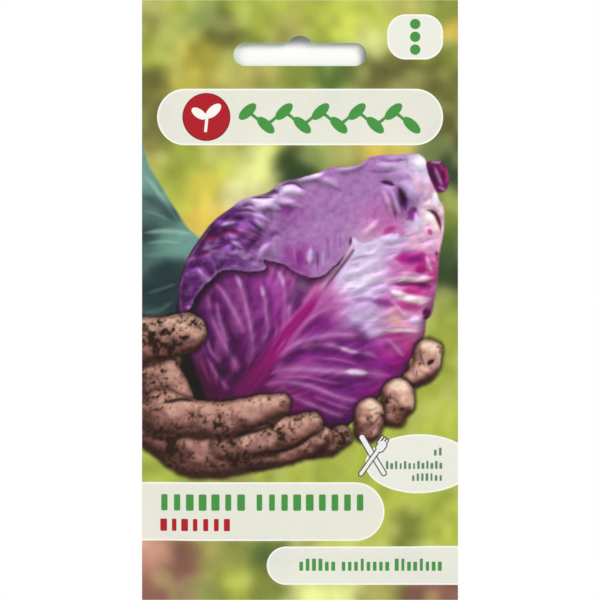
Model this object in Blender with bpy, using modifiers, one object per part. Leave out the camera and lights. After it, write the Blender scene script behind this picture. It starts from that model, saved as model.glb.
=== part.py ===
"""A seed packet on a hook: two printed panels of laminated paper, heat-sealed to each other round all four
edges, with a hang slot cut through the header and loose round seeds at the bottom of the pocket.

Metres, +Z up. The packet faces -Y and hangs, so the origin is where a hook bears: the top of the slot's hump.
"""

import math
import random

import bmesh
import bpy

# The sealed outline
PACKET_WIDTH = 0.079
PACKET_HEIGHT = 0.150
SIDE_SEAL_WIDTH = 0.006
BOTTOM_SEAL_HEIGHT = 0.008
HEADER_SEAL_HEIGHT = 0.024

# The laminate, and the space that the two panels keep where they are sealed
PANEL_THICKNESS = 0.00015
SEAL_GAP = 0.0003

# The hang slot: a bar with round ends, and a hump in the middle of its upper edge that centres a hook
SLOT_LENGTH = 0.0333
SLOT_HEIGHT = 0.0058
SLOT_BELOW_TOP_EDGE = 0.0107
HUMP_RADIUS = 0.0035
HUMP_RISE = 0.0019
CUTTER_MARGIN = 0.002

# The seeds: the count in each row of the heap, from the bottom row up
SEED_DIAMETER = 0.0020
SEED_ROWS = (19, 16, 13, 8)
SEED_CLEARANCE = 0.0003
SEED_JITTER = 0.00005
SMALLEST_SEED = 0.92

# How the pocket swells away from its seals
BOTTOM_SLOPE = 0.005
ABOVE_SEEDS_SLOPE = 0.030
TOP_SLOPE = 0.030
SLACK_SWELL = 0.0005

# The mesh: how fine a panel's grid and a round end's arc are
GRID_PITCH = 0.0036
ARC_STEPS = 10

# The origin's height above the bottom edge: the top of the hump
SLOT_TOP_HEIGHT = PACKET_HEIGHT - SLOT_BELOW_TOP_EDGE
HOOK_HEIGHT = SLOT_TOP_HEIGHT + HUMP_RISE

# The heap of seeds, row on row as balls stack
SEED_PITCH = SEED_DIAMETER + SEED_CLEARANCE + 2 * SEED_JITTER
SEED_ROW_RISE = SEED_PITCH * math.sqrt(3) / 2
LOWEST_SEED_HEIGHT = BOTTOM_SEAL_HEIGHT + BOTTOM_SLOPE + SEED_DIAMETER / 2
SEEDS_TOP_HEIGHT = LOWEST_SEED_HEIGHT + (len(SEED_ROWS) - 1) * SEED_ROW_RISE + SEED_DIAMETER / 2

# The swell that leaves the seeds their clearance to both panels. It rises from each side seal in what the longest
# row of seeds leaves free, less one cell of the grid, because a cell's edge cuts the corner of the slope.
SEED_SWELL = SEED_DIAMETER / 2 + SEED_CLEARANCE - SEAL_GAP / 2
SIDE_SLOPE = (PACKET_WIDTH - max(SEED_ROWS) * SEED_PITCH) / 2 - SIDE_SEAL_WIDTH - GRID_PITCH


def clear_scene():
    """Removes everything that the file opened with."""
    for old in list(bpy.data.objects):
        bpy.data.objects.remove(old)


def new_collection(name):
    """A collection in the scene, under this name."""
    made = bpy.data.collections.new(name)
    bpy.context.scene.collection.children.link(made)
    return made


def plain_material(name, colour, roughness):
    """A Principled material with one colour and no metal."""
    made = bpy.data.materials.new(name)
    made.use_nodes = True
    shader = made.node_tree.nodes["Principled BSDF"]
    shader.inputs["Base Color"].default_value = (*colour, 1.0)
    shader.inputs["Roughness"].default_value = roughness
    shader.inputs["Metallic"].default_value = 0.0
    return made


def rise(distance, run):
    """0 at the start of a slope and 1 at its end, level at both, so that the paper has no crease."""
    share = min(max(distance / run, 0.0), 1.0)
    return share * share * (3 - 2 * share)


def swell(x, height):
    """How far either panel stands out from its sealed plane, at this place on the packet."""
    across = rise(PACKET_WIDTH / 2 - SIDE_SEAL_WIDTH - abs(x), SIDE_SLOPE)
    from_bottom = rise(height - BOTTOM_SEAL_HEIGHT, BOTTOM_SLOPE)
    from_header = rise(PACKET_HEIGHT - HEADER_SEAL_HEIGHT - height, TOP_SLOPE)
    above_seeds = rise(height - SEEDS_TOP_HEIGHT, ABOVE_SEEDS_SLOPE)
    filled = SEED_SWELL + (SLACK_SWELL - SEED_SWELL) * above_seeds
    return across * from_bottom * from_header * filled


def slot_outline():
    """The hang slot's outline as (x, height) points, once round: right end, upper edge and hump, left end."""
    end_radius = SLOT_HEIGHT / 2
    end_x = SLOT_LENGTH / 2 - end_radius
    middle = SLOT_TOP_HEIGHT - end_radius
    hump_centre = SLOT_TOP_HEIGHT + HUMP_RISE - HUMP_RADIUS
    hump_half_angle = math.acos((HUMP_RADIUS - HUMP_RISE) / HUMP_RADIUS)

    def arc(centre_x, centre_height, radius, start, end):
        angles = [start + (end - start) * step / ARC_STEPS for step in range(ARC_STEPS + 1)]
        return [(centre_x + radius * math.cos(a), centre_height + radius * math.sin(a)) for a in angles]

    upright = math.pi / 2
    right_end = arc(end_x, middle, end_radius, -upright, upright)
    hump = arc(0, hump_centre, HUMP_RADIUS, upright - hump_half_angle, upright + hump_half_angle)
    left_end = arc(-end_x, middle, end_radius, upright, 3 * upright)
    return right_end + hump + left_end


def slot_cutter(collection):
    """The punch that cuts the hang slot through both panels: the outline as a filled curve, then as a mesh."""
    curve = bpy.data.curves.new("slot_punch_outline", "CURVE")
    curve.dimensions = "2D"
    curve.fill_mode = "BOTH"
    curve.extrude = SEAL_GAP / 2 + PANEL_THICKNESS + CUTTER_MARGIN
    points = slot_outline()
    spline = curve.splines.new("POLY")
    spline.points.add(len(points) - 1)
    for point, (x, height) in zip(spline.points, points):
        point.co = (x, height, 0, 1)
    spline.use_cyclic_u = True
    drawn = bpy.data.objects.new("slot_punch_outline", curve)
    collection.objects.link(drawn)
    # The outline is drawn in X and Y; a quarter turn about X stands it up.
    drawn.rotation_euler = (math.pi / 2, 0, 0)
    bpy.context.view_layer.update()

    seen = drawn.evaluated_get(bpy.context.evaluated_depsgraph_get())
    mesh = bpy.data.meshes.new_from_object(seen)
    welded = bmesh.new()
    welded.from_mesh(mesh)
    bmesh.ops.remove_doubles(welded, verts=welded.verts, dist=1e-6)
    bmesh.ops.recalc_face_normals(welded, faces=welded.faces)
    welded.to_mesh(mesh)
    welded.free()
    punch = bpy.data.objects.new("slot_punch", mesh)
    punch.matrix_world = drawn.matrix_world
    collection.objects.link(punch)
    bpy.data.objects.remove(drawn)
    punch.hide_render = True
    punch.display_type = "WIRE"
    return punch


def panel(name, side, punch, material, packet, collection):
    """One printed panel. Side -1 is the front and faces -Y, side 1 is the back and faces +Y.

    The grid is the panel's inner face. Solidify gives it the laminate's thickness on the outside.
    """
    bpy.ops.mesh.primitive_grid_add(
        x_subdivisions=round(PACKET_WIDTH / GRID_PITCH),
        y_subdivisions=round(PACKET_HEIGHT / GRID_PITCH),
        size=1,
    )
    made = bpy.context.object
    made.name = made.data.name = name
    for vertex in made.data.vertices:
        x = vertex.co.x * PACKET_WIDTH
        height = (vertex.co.y + 0.5) * PACKET_HEIGHT
        vertex.co = (x, side * (SEAL_GAP / 2 + swell(x, height)), height)

    thickness = made.modifiers.new("laminate", "SOLIDIFY")
    thickness.thickness = PANEL_THICKNESS
    thickness.offset = -side

    slot = made.modifiers.new("hang_slot", "BOOLEAN")
    slot.operation = "DIFFERENCE"
    slot.solver = "EXACT"
    slot.object = punch

    made.data.shade_smooth()
    made.data.set_sharp_from_angle(angle=math.radians(40))
    made.data.materials.append(material)
    place(made, packet, collection)
    return made


def seeds(material, packet, collection):
    """The heap of seeds, one object each. They share one mesh, and differ in size and in how they lie."""
    bpy.ops.mesh.primitive_ico_sphere_add(subdivisions=2, radius=SEED_DIAMETER / 2)
    pattern = bpy.context.object
    mesh = pattern.data
    mesh.name = "seed"
    mesh.shade_smooth()
    mesh.materials.append(material)
    bpy.data.objects.remove(pattern)

    shake = random.Random(11)
    number = 0
    for row, count in enumerate(SEED_ROWS):
        for place_in_row in range(count):
            number += 1
            seed = bpy.data.objects.new(f"seed_{number:02d}", mesh)
            seed.location = (
                (place_in_row - (count - 1) / 2) * SEED_PITCH + shake.uniform(-SEED_JITTER, SEED_JITTER),
                0,
                LOWEST_SEED_HEIGHT + row * SEED_ROW_RISE + shake.uniform(-SEED_JITTER, SEED_JITTER),
            )
            seed.rotation_euler = [shake.uniform(0, math.pi) for _ in range(3)]
            seed.scale = [shake.uniform(SMALLEST_SEED, 1)] * 3
            place(seed, packet, collection)


def place(piece, packet, collection):
    """Hangs the piece on the packet's empty, and files it in the packet's collection only."""
    for holder in list(piece.users_collection):
        holder.objects.unlink(piece)
    collection.objects.link(piece)
    piece.parent = packet


def main():
    clear_scene()
    pieces = new_collection("seed_packet")
    cutters = new_collection("cutters")

    # The pieces are modelled up from the bottom edge, and the empty carries them down to the hook.
    packet = bpy.data.objects.new("packet", None)
    packet.location = (0, 0, -HOOK_HEIGHT)
    pieces.objects.link(packet)

    punch = slot_cutter(cutters)
    punch.parent = packet

    front_print = plain_material("front_print", (0.45, 0.52, 0.10), 0.30)
    back_print = plain_material("back_print", (0.80, 0.84, 0.68), 0.35)
    seed_coat = plain_material("seed_coat", (0.07, 0.03, 0.03), 0.55)

    panel("front_panel", -1, punch, front_print, packet, pieces)
    panel("back_panel", 1, punch, back_print, packet, pieces)
    seeds(seed_coat, packet, pieces)


main()
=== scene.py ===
# %% [markdown]
# # A printed seed packet
#
# A seed packet is one of the thinnest things that a shop hangs on a hook: two panels of printed, laminated
# paper, sealed to each other round all four edges, with a slot punched through the header and a pinch of
# seeds inside. Nearly all of what the eye sees is ink, so this lesson spends most of its lines on a
# picture: a red cabbage held in two earthy hands.
#
# The work runs in this order: the frame that gives every size, the camera and the light, the picture that
# is painted on a canvas of numbers, the panels that carry it, the crisp marks that are drawn over it, and
# the seeds.

# %% The frame that every size comes from
import math

import bmesh
import bpy
import numpy as np
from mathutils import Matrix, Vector
from mathutils.geometry import delaunay_2d_cdt


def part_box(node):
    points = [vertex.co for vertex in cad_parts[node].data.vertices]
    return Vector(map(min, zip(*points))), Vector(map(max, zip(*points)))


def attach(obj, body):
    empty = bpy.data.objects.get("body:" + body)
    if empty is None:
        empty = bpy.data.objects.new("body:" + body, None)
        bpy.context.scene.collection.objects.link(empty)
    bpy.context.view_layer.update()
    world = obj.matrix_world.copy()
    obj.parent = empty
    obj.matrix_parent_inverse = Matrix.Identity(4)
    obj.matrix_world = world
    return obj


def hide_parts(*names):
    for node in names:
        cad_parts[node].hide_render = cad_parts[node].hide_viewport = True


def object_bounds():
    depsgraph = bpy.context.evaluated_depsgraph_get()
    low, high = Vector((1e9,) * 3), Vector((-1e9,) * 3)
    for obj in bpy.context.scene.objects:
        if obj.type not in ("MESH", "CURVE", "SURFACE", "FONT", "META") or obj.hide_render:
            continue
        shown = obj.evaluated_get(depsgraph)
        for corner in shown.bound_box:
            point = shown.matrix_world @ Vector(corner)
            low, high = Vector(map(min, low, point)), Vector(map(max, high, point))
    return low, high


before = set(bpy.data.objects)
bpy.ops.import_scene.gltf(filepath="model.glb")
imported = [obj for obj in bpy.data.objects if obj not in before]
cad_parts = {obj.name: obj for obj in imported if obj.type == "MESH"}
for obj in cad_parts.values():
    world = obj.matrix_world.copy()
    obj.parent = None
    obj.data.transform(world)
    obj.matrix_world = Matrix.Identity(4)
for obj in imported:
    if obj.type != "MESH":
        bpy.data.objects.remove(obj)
cad_low, cad_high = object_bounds()

MM = 0.001
PACKET_WIDTH = (cad_high.x - cad_low.x) / MM
PACKET_HEIGHT = (cad_high.z - cad_low.z) / MM
BOTTOM_EDGE = cad_low.z / MM
SEEDS = sorted(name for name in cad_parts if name.startswith("seed_"))
print(f"packet {PACKET_WIDTH:.1f} x {PACKET_HEIGHT:.1f} mm, hook {-BOTTOM_EDGE:.1f} mm above its bottom edge")
print(len(SEEDS), "seeds")


# %% [markdown]
# ## The camera, the floor and the light
#
# A flat print is shown best by even light. One lamp would leave one end of the picture darker, and a
# surrounding as white as it looks would be mirrored in the film all over and wash the ink out. So the
# surrounding looks white to the camera and shines at half of that, and two large soft panels give the rest:
# a key above on the right, which shows the swell of the pocket, and a weaker fill on the left. A third one
# lights the back. The camera stands level with the middle of the packet with a long lens, so that its edges
# stay parallel.

# %% Camera, floor and light
LENS = 120.0
SENSOR = 36.0
CAMERA_DISTANCE = PACKET_HEIGHT * MM * LENS / SENSOR

camera_data = bpy.data.cameras.new("camera")
camera_data.lens = LENS
camera_data.sensor_width = SENSOR
camera_data.dof.use_dof = False
camera = bpy.data.objects.new("camera", camera_data)
camera.location = (0, -CAMERA_DISTANCE - 0.0003, (cad_low.z + cad_high.z) / 2)
camera.rotation_euler = (math.pi / 2, 0, 0)
bpy.context.scene.collection.objects.link(camera)
bpy.context.scene.camera = camera

SURROUND_LIGHT = 0.55

world = bpy.data.worlds.new("white_surrounding")
world.use_nodes = True
background = world.node_tree.nodes["Background"]
background.inputs["Color"].default_value = (1, 1, 1, 1)
seen_directly = world.node_tree.nodes.new("ShaderNodeLightPath")
how_bright = world.node_tree.nodes.new("ShaderNodeMapRange")
how_bright.inputs["To Min"].default_value = SURROUND_LIGHT
how_bright.inputs["To Max"].default_value = 1.0
world.node_tree.links.new(seen_directly.outputs["Is Camera Ray"], how_bright.inputs["Value"])
world.node_tree.links.new(how_bright.outputs["Result"], background.inputs["Strength"])
bpy.context.scene.world = world
bpy.context.scene.view_settings.view_transform = "Standard"
bpy.context.scene.view_settings.look = "None"


def soft_light(name, place, aim, size, power):
    """A square soft light at a place in metres, turned towards a point."""
    data = bpy.data.lights.new(name, "AREA")
    data.shape = "SQUARE"
    data.size = size
    data.energy = power
    light = bpy.data.objects.new(name, data)
    light.location = place
    light.rotation_euler = (Vector(aim) - Vector(place)).to_track_quat("-Z", "Y").to_euler()
    bpy.context.scene.collection.objects.link(light)
    return light


MIDDLE = (0, 0, camera.location.z)
soft_light("key_light", (0.42, -0.48, 0.34), MIDDLE, 0.30, 1.85)
soft_light("fill_light", (-0.48, -0.42, 0.10), MIDDLE, 0.36, 1.05)
soft_light("back_light", (-0.30, 0.55, 0.30), MIDDLE, 0.36, 2.4)
print(f"camera {CAMERA_DISTANCE / MM:.0f} mm away")


def plain_material(name, colour, roughness):
    """A Principled material with one colour."""
    made = bpy.data.materials.new(name)
    made.use_nodes = True
    shader = made.node_tree.nodes["Principled BSDF"]
    shader.inputs["Base Color"].default_value = (*colour, 1)
    shader.inputs["Roughness"].default_value = roughness
    return made


# %% [markdown]
# The packet hangs, so the floor is some way below it. Behind the slot hangs a small white card, as a shop's
# display has. A painted shade turns it grey towards the slot's upper edge and its right end, where the key
# light's shadow would fall. A faint painted glow of its own keeps it from looking grey all over.
# Only the camera sees it, and only from the front, so it neither hides the back of the packet nor throws a
# shadow on it.

# %% Floor and card
FLOOR_BELOW = 0.15
CARD_BEHIND = 0.0014
# A faint painted glow: the card gives off a little light of its own.
CARD_PAINTED_GLOW = 0.07
CARD_SIZE = (0.042, 0.014)
CARD_HEIGHT = -0.004
# Painted shade across and up the card, in shares of its size:
# where it starts, where it is full, its lightness there
CARD_PAINTED_SHADE = ((0.33, 0.41, 0.16), (0.03, 0.23, 0.26))
bpy.ops.mesh.primitive_plane_add(size=1.6, location=(0, 0, cad_low.z - FLOOR_BELOW))
floor = bpy.context.object
floor.name = "floor"
floor.data.materials.append(plain_material("pale_floor", (0.93, 0.93, 0.92), 0.6))


def card_material():
    """White, with a painted shade at the top and the right and a faint painted glow, and clear to all but a
    camera in front.
    """
    made = plain_material("white_card", (0.95, 0.95, 0.95), 0.8)
    tree = made.node_tree
    shader = tree.nodes["Principled BSDF"]
    shader.inputs["Specular IOR Level"].default_value = 0
    shader.inputs["Emission Color"].default_value = (1, 1, 1, 1)
    shader.inputs["Emission Strength"].default_value = CARD_PAINTED_GLOW
    where = tree.nodes.new("ShaderNodeTexCoord")
    split = tree.nodes.new("ShaderNodeSeparateXYZ")
    tree.links.new(where.outputs["Object"], split.inputs[0])
    # The painted shade: white, darkened towards the slot's upper edge and its right end.
    white = tree.nodes.new("ShaderNodeMath")
    white.operation = "MULTIPLY"
    for axis, (start, end, darkest), socket in zip("XY", CARD_PAINTED_SHADE, white.inputs):
        fade = tree.nodes.new("ShaderNodeMapRange")
        fade.interpolation_type = "SMOOTHSTEP"
        for label, value in (("From Min", start), ("From Max", end), ("To Min", 0.97), ("To Max", darkest)):
            fade.inputs[label].default_value = value
        tree.links.new(split.outputs[axis], fade.inputs["Value"])
        tree.links.new(fade.outputs["Result"], socket)
    tree.links.new(white.outputs[0], shader.inputs["Base Color"])
    behind = tree.nodes.new("ShaderNodeNewGeometry")
    looked_at = tree.nodes.new("ShaderNodeLightPath")
    solid = tree.nodes.new("ShaderNodeMath")
    solid.operation = "GREATER_THAN"
    tree.links.new(looked_at.outputs["Is Camera Ray"], solid.inputs[0])
    tree.links.new(behind.outputs["Backfacing"], solid.inputs[1])
    tree.links.new(solid.outputs[0], shader.inputs["Alpha"])
    return made


bpy.ops.mesh.primitive_plane_add(size=1, location=(0, CARD_BEHIND, CARD_HEIGHT), rotation=(math.pi / 2, 0, 0))
card = bpy.context.object
card.name = "white_card"
card.scale = (*CARD_SIZE, 1)
card.data.materials.append(card_material())
print(f"floor {FLOOR_BELOW / MM:.0f} mm below the packet, card {CARD_BEHIND / MM:.1f} mm behind it")


# %% [markdown]
# ## A canvas of ink
#
# The front is printed with a picture of a garden. It could be made with shader nodes alone, but leaves and
# fingers lie over each other in an order, each with its own light and shadow, and that is how a painter
# works: back to front. So the picture is painted with numpy on a canvas of numbers, one row per 0.3 mm of
# the packet. The panel's mesh has a corner at each of those places where the picture is fine, and at every
# third row elsewhere, and keeps the ink there as a colour attribute.
#
# All sizes are millimetres: x from the packet's middle line, h up from its bottom edge.

# %% The canvas
COLUMNS, ROWS = 262, 493
across = np.linspace(-PACKET_WIDTH / 2, PACKET_WIDTH / 2, COLUMNS)
up = np.linspace(0, PACKET_HEIGHT, ROWS)
CELL_X, CELL_H = across[1] - across[0], up[1] - up[0]
X, H = np.meshgrid(across, up)
WHOLE = (slice(0, ROWS), slice(0, COLUMNS))
ink = np.zeros((ROWS, COLUMNS, 3))
print(f"canvas {COLUMNS} x {ROWS}, cells {CELL_X:.3f} x {CELL_H:.3f} mm")


# %% [markdown]
# ## Brushes
#
# A few tools do all the painting. `cloud`, `ridges` and `grooves` give the soft and the sharp unevenness of
# leaves and skin. `curve` bends a smooth line through a few given points. `along` measures how far every
# place is from such a line, which makes a stroke, a vein or a finger. `lay` puts a colour down through a
# mask, `patchwork` lets soft patches of ink run into each other, and `light_relief` shades what is painted
# as if it stood out of the paper.

# %% Unevenness
def smooth(low, high, value):
    """0 below low, 1 above high, and an S-curve between."""
    share = np.clip((value - low) / (high - low), 0, 1)
    return share * share * (3 - 2 * share)


def mottle(patch, seed, x=X, h=H):
    """Random light and dark between 0 and 1, in soft patches about this many millimetres across."""
    table = np.random.default_rng(seed).random((97, 89))
    column, row = x / patch + 211.3, h / patch + 157.7
    c0, r0 = np.floor(column).astype(int), np.floor(row).astype(int)
    fc, fr = column - c0, row - r0
    fc, fr = fc * fc * (3 - 2 * fc), fr * fr * (3 - 2 * fr)
    low = table[r0 % 97, c0 % 89] * (1 - fc) + table[r0 % 97, (c0 + 1) % 89] * fc
    high = table[(r0 + 1) % 97, c0 % 89] * (1 - fc) + table[(r0 + 1) % 97, (c0 + 1) % 89] * fc
    return low * (1 - fr) + high * fr


def layered(shape, patch, octaves):
    """A pattern laid over itself, each time half the size and half the strength."""
    total = sum(0.5**k * shape(patch / 2**k, k) for k in range(octaves))
    return total / sum(0.5**k for k in range(octaves))


def cloud(patch, seed, octaves=4, x=X, h=H):
    """Soft clouds between 0 and 1."""
    return layered(lambda size, k: mottle(size, seed + k, x, h), patch, octaves)


def ridges(patch, seed, octaves=3, x=X, h=H):
    """Crumples: 1 along sharp crests, falling away on both sides."""
    return layered(lambda size, k: 1 - np.abs(2 * mottle(size, seed + k, x, h) - 1), patch, octaves)


def grooves(patch, seed, x=X, h=H):
    """Long winding creases: 1 in a crease, falling away fast on both sides."""
    crease = np.exp(-np.abs(2 * mottle(patch, seed, x, h) - 1) / 0.14)
    return crease * smooth(0.25, 0.6, mottle(1.7 * patch, seed + 9, x, h))


def turned(degrees, stretch, x=X, h=H):
    """Coordinates turned by an angle and drawn out along the new first axis."""
    a = math.radians(degrees)
    return (x * math.cos(a) + h * math.sin(a)) / stretch, -x * math.sin(a) + h * math.cos(a)


print(f"clouds lie between {cloud(5, 1).min():.2f} and {cloud(5, 1).max():.2f}")


# %% Lines and strokes
def rgb(*values):
    """An ink colour from 0 to 255 as shares of 1."""
    return np.array(values, float) / 255


def curve(points, closed=False, steps=8):
    """A smooth line through the points."""
    p = np.array(points, float)
    if closed:
        p = np.vstack([p[-1], p, p[0], p[1]])
    else:
        p = np.vstack([2 * p[0] - p[1], p, 2 * p[-1] - p[-2]])
    t = np.linspace(0, 1, steps, endpoint=False)[:, None]
    line = [
        0.5 * (2 * b + (c - a) * t + (2 * a - 5 * b + 4 * c - d) * t**2 + (3 * b - a - 3 * c + d) * t**3)
        for a, b, c, d in zip(p, p[1:], p[2:], p[3:])
    ]
    if not closed:
        line.append(p[-2][None])
    return np.vstack(line)


def area_near(path, reach):
    """The part of the canvas within reach of a path, as slices of rows and columns."""
    low, high = path.min(0) - reach, path.max(0) + reach
    rows = np.searchsorted(up, [low[1], high[1]])
    columns = np.searchsorted(across, [low[0], high[0]])
    return slice(*rows), slice(*columns)


def along(path, area=WHOLE):
    """For each place: distance to the path, share of the way along it, and side (+1 on its left)."""
    x, h = X[area], H[area]
    distance, share, side = np.full(x.shape, 1e3), np.zeros(x.shape), np.ones(x.shape)
    lengths = np.hypot(*np.diff(path, axis=0).T)
    starts = np.concatenate([[0], np.cumsum(lengths)])
    for (ax, ah), (bx, bh), start, length in zip(path, path[1:], starts, lengths):
        dx, dh = bx - ax, bh - ah
        t = np.clip(((x - ax) * dx + (h - ah) * dh) / (length * length + 1e-12), 0, 1)
        ox, oh = x - ax - t * dx, h - ah - t * dh
        here = np.hypot(ox, oh)
        closer = here < distance
        distance = np.where(closer, here, distance)
        share = np.where(closer, (start + t * length) / starts[-1], share)
        side = np.where(closer, np.where(dx * oh - dh * ox >= 0, 1.0, -1.0), side)
    return distance, share, side


def inside_of(path):
    """Distance in from a closed outline, and minus the distance out from it."""
    closed = np.vstack([path, path[:1]])
    distance, _, _ = along(closed)
    within = np.zeros(X.shape, bool)
    for (ax, ah), (bx, bh) in zip(closed, closed[1:]):
        if ah != bh:
            within ^= ((ah > H) != (bh > H)) & (X < ax + (H - ah) * (bx - ax) / (bh - ah))
    return np.where(within, distance, -distance)


def lay(colour, mask, area=WHOLE):
    """Puts a colour on the canvas where the mask is 1."""
    ink[area] = ink[area] * (1 - mask[..., None]) + colour * mask[..., None]


def brush(points, width, name, strength=1.0, soft=0.45, start=1.0, end=1.0, within=None, tips=0.12):
    """A stroke in a named ink. start and end are its width's shares there. tips is how much of it fades."""
    path = curve(points)
    area = area_near(path, width + 0.5)
    distance, share, _ = along(path, area)
    pointed = smooth(0, tips, share) * smooth(0, tips, 1 - share) if tips else 1
    half = width / 2 * (start + (end - start) * share) * (0.15 + 0.85 * pointed)
    mask = strength * (1 - smooth(half * (1 - soft), half * (1 + soft), distance)) * pointed**0.5
    if within is not None:
        mask = mask * within[area]
    lay(INKS[name], mask, area)


def fold(height, points, width, rise):
    """Lifts a crest on a relief along the points, or presses a crease if rise is below 0."""
    path = curve(points)
    area = area_near(path, 1.5 * width + 0.5)
    distance, share, _ = along(path, area)
    fading = smooth(0, 0.35, share) * smooth(0, 0.35, 1 - share)
    height[area] += rise * fading * np.exp(-((distance / (0.7 * width)) ** 2))


def blurred(field, radius):
    """The field with every place averaged with its neighbours, three times over."""
    for axis, cell in ((0, CELL_H), (1, CELL_X)):
        n = max(1, round(radius / cell))
        for _ in range(3):
            pad = [(n + 1, n) if a == axis else (0, 0) for a in range(field.ndim)]
            total = np.cumsum(np.pad(field, pad, mode="edge"), axis=axis)
            size = field.shape[axis]
            window = 2 * n + 1
            field = np.take(total, range(window, window + size), axis) - np.take(total, range(size), axis)
            field = field / window
    return field


LIGHT_ACROSS, LIGHT_DOWN = -0.30, 0.95


def light_relief(height, mask, contrast):
    """Shades what is painted as if it had this relief in millimetres, lit from above on the left."""
    slope_h, slope_x = np.gradient(blurred(height, 0.2), CELL_H, CELL_X)
    shade = np.clip(-(slope_x * LIGHT_ACROSS + slope_h * LIGHT_DOWN), -0.9, 0.9) * contrast
    lit = ink * (1 + shade)[..., None] + np.clip(shade, 0, 1)[..., None] * rgb(54, 48, 66)
    lay(np.clip(lit, 0, 1), mask)


def patchwork(patches, spread, sway, seed):
    """Soft patches of ink, each (x, h, size, name of the ink), that run into each other."""
    x = X + sway * (2 * cloud(9, seed + 5) - 1)
    h = H + sway * (2 * cloud(9, seed + 25) - 1)
    total, weights = np.zeros(X.shape + (3,)), np.full(X.shape, 1e-12)
    for px, ph, size, name in patches:
        apart = ((x - px) ** 2 + (h - ph) ** 2) / (2 * (spread * size) ** 2)
        near = np.exp(-apart) + 1e-4 / (1 + apart) ** 2
        total += near[..., None] * INKS[name]
        weights += near
    return total / weights[..., None]


print(len(curve([(0, 0), (5, 5), (10, 0)])), "places on a smooth line through three points")


# %% [markdown]
# ## The inks
#
# A printer mixes a picture from few inks, and so does this one: some forty named colours do for the
# garden, the leaves and the hands. Mixing by name also keeps the picture easy to change, because one line
# moves every place that uses that ink.

# %% The inks
INKS = {
    # the garden
    "lime": rgb(192, 202, 84), "pale lime": rgb(216, 221, 138), "grass": rgb(168, 180, 74),
    "khaki": rgb(172, 168, 92),
    "olive": rgb(128, 138, 62), "moss": rgb(88, 112, 54), "dusk": rgb(106, 105, 56),
    "shade": rgb(60, 76, 48),
    "gold": rgb(222, 194, 86), "straw": rgb(194, 182, 76), "cream": rgb(222, 215, 154),
    "rust": rgb(138, 96, 82),
    "petal": rgb(196, 144, 126),
    # the outer leaf
    "sea": rgb(112, 154, 142), "pale sea": rgb(164, 200, 184), "pine": rgb(78, 106, 100),
    "deep pine": rgb(44, 60, 62),
    # the cabbage, from dark to light
    "night": rgb(38, 12, 36), "wine": rgb(84, 22, 50), "plum": rgb(58, 20, 62),
    "aubergine": rgb(80, 33, 85),
    "beet": rgb(108, 28, 84), "violet": rgb(116, 58, 136), "grape": rgb(118, 34, 118),
    "purple": rgb(142, 56, 142),
    "magenta": rgb(158, 24, 118), "raspberry": rgb(176, 52, 122), "mauve": rgb(169, 121, 179),
    "orchid": rgb(190, 104, 168),
    "lilac": rgb(196, 166, 212), "blush": rgb(226, 178, 206), "bloom": rgb(215, 198, 229),
    "frost": rgb(242, 236, 248),
    "shell": rgb(246, 226, 222), "nude": rgb(214, 162, 160),
    # skin and soil
    "soil": rgb(44, 30, 24), "stain": rgb(96, 66, 54), "gap": rgb(30, 18, 18),
    "skin shade": rgb(60, 38, 34),
    "skin dark": rgb(114, 76, 69), "skin": rgb(172, 124, 114), "skin light": rgb(216, 168, 150),
    "skin glow": rgb(246, 214, 190),
}
print(len(INKS), "inks")


# %% [markdown]
# ## The garden behind
#
# Far behind the cabbage the garden is out of focus: lime, olive, cream and a few dark gaps melt into each
# other. A noise pattern would do, but the colours have places, such as the pale glow above the cabbage's
# shoulder and the dark gap beside its tip. So each patch is put where it belongs, and a slow sway keeps the
# patches from looking round.

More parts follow.
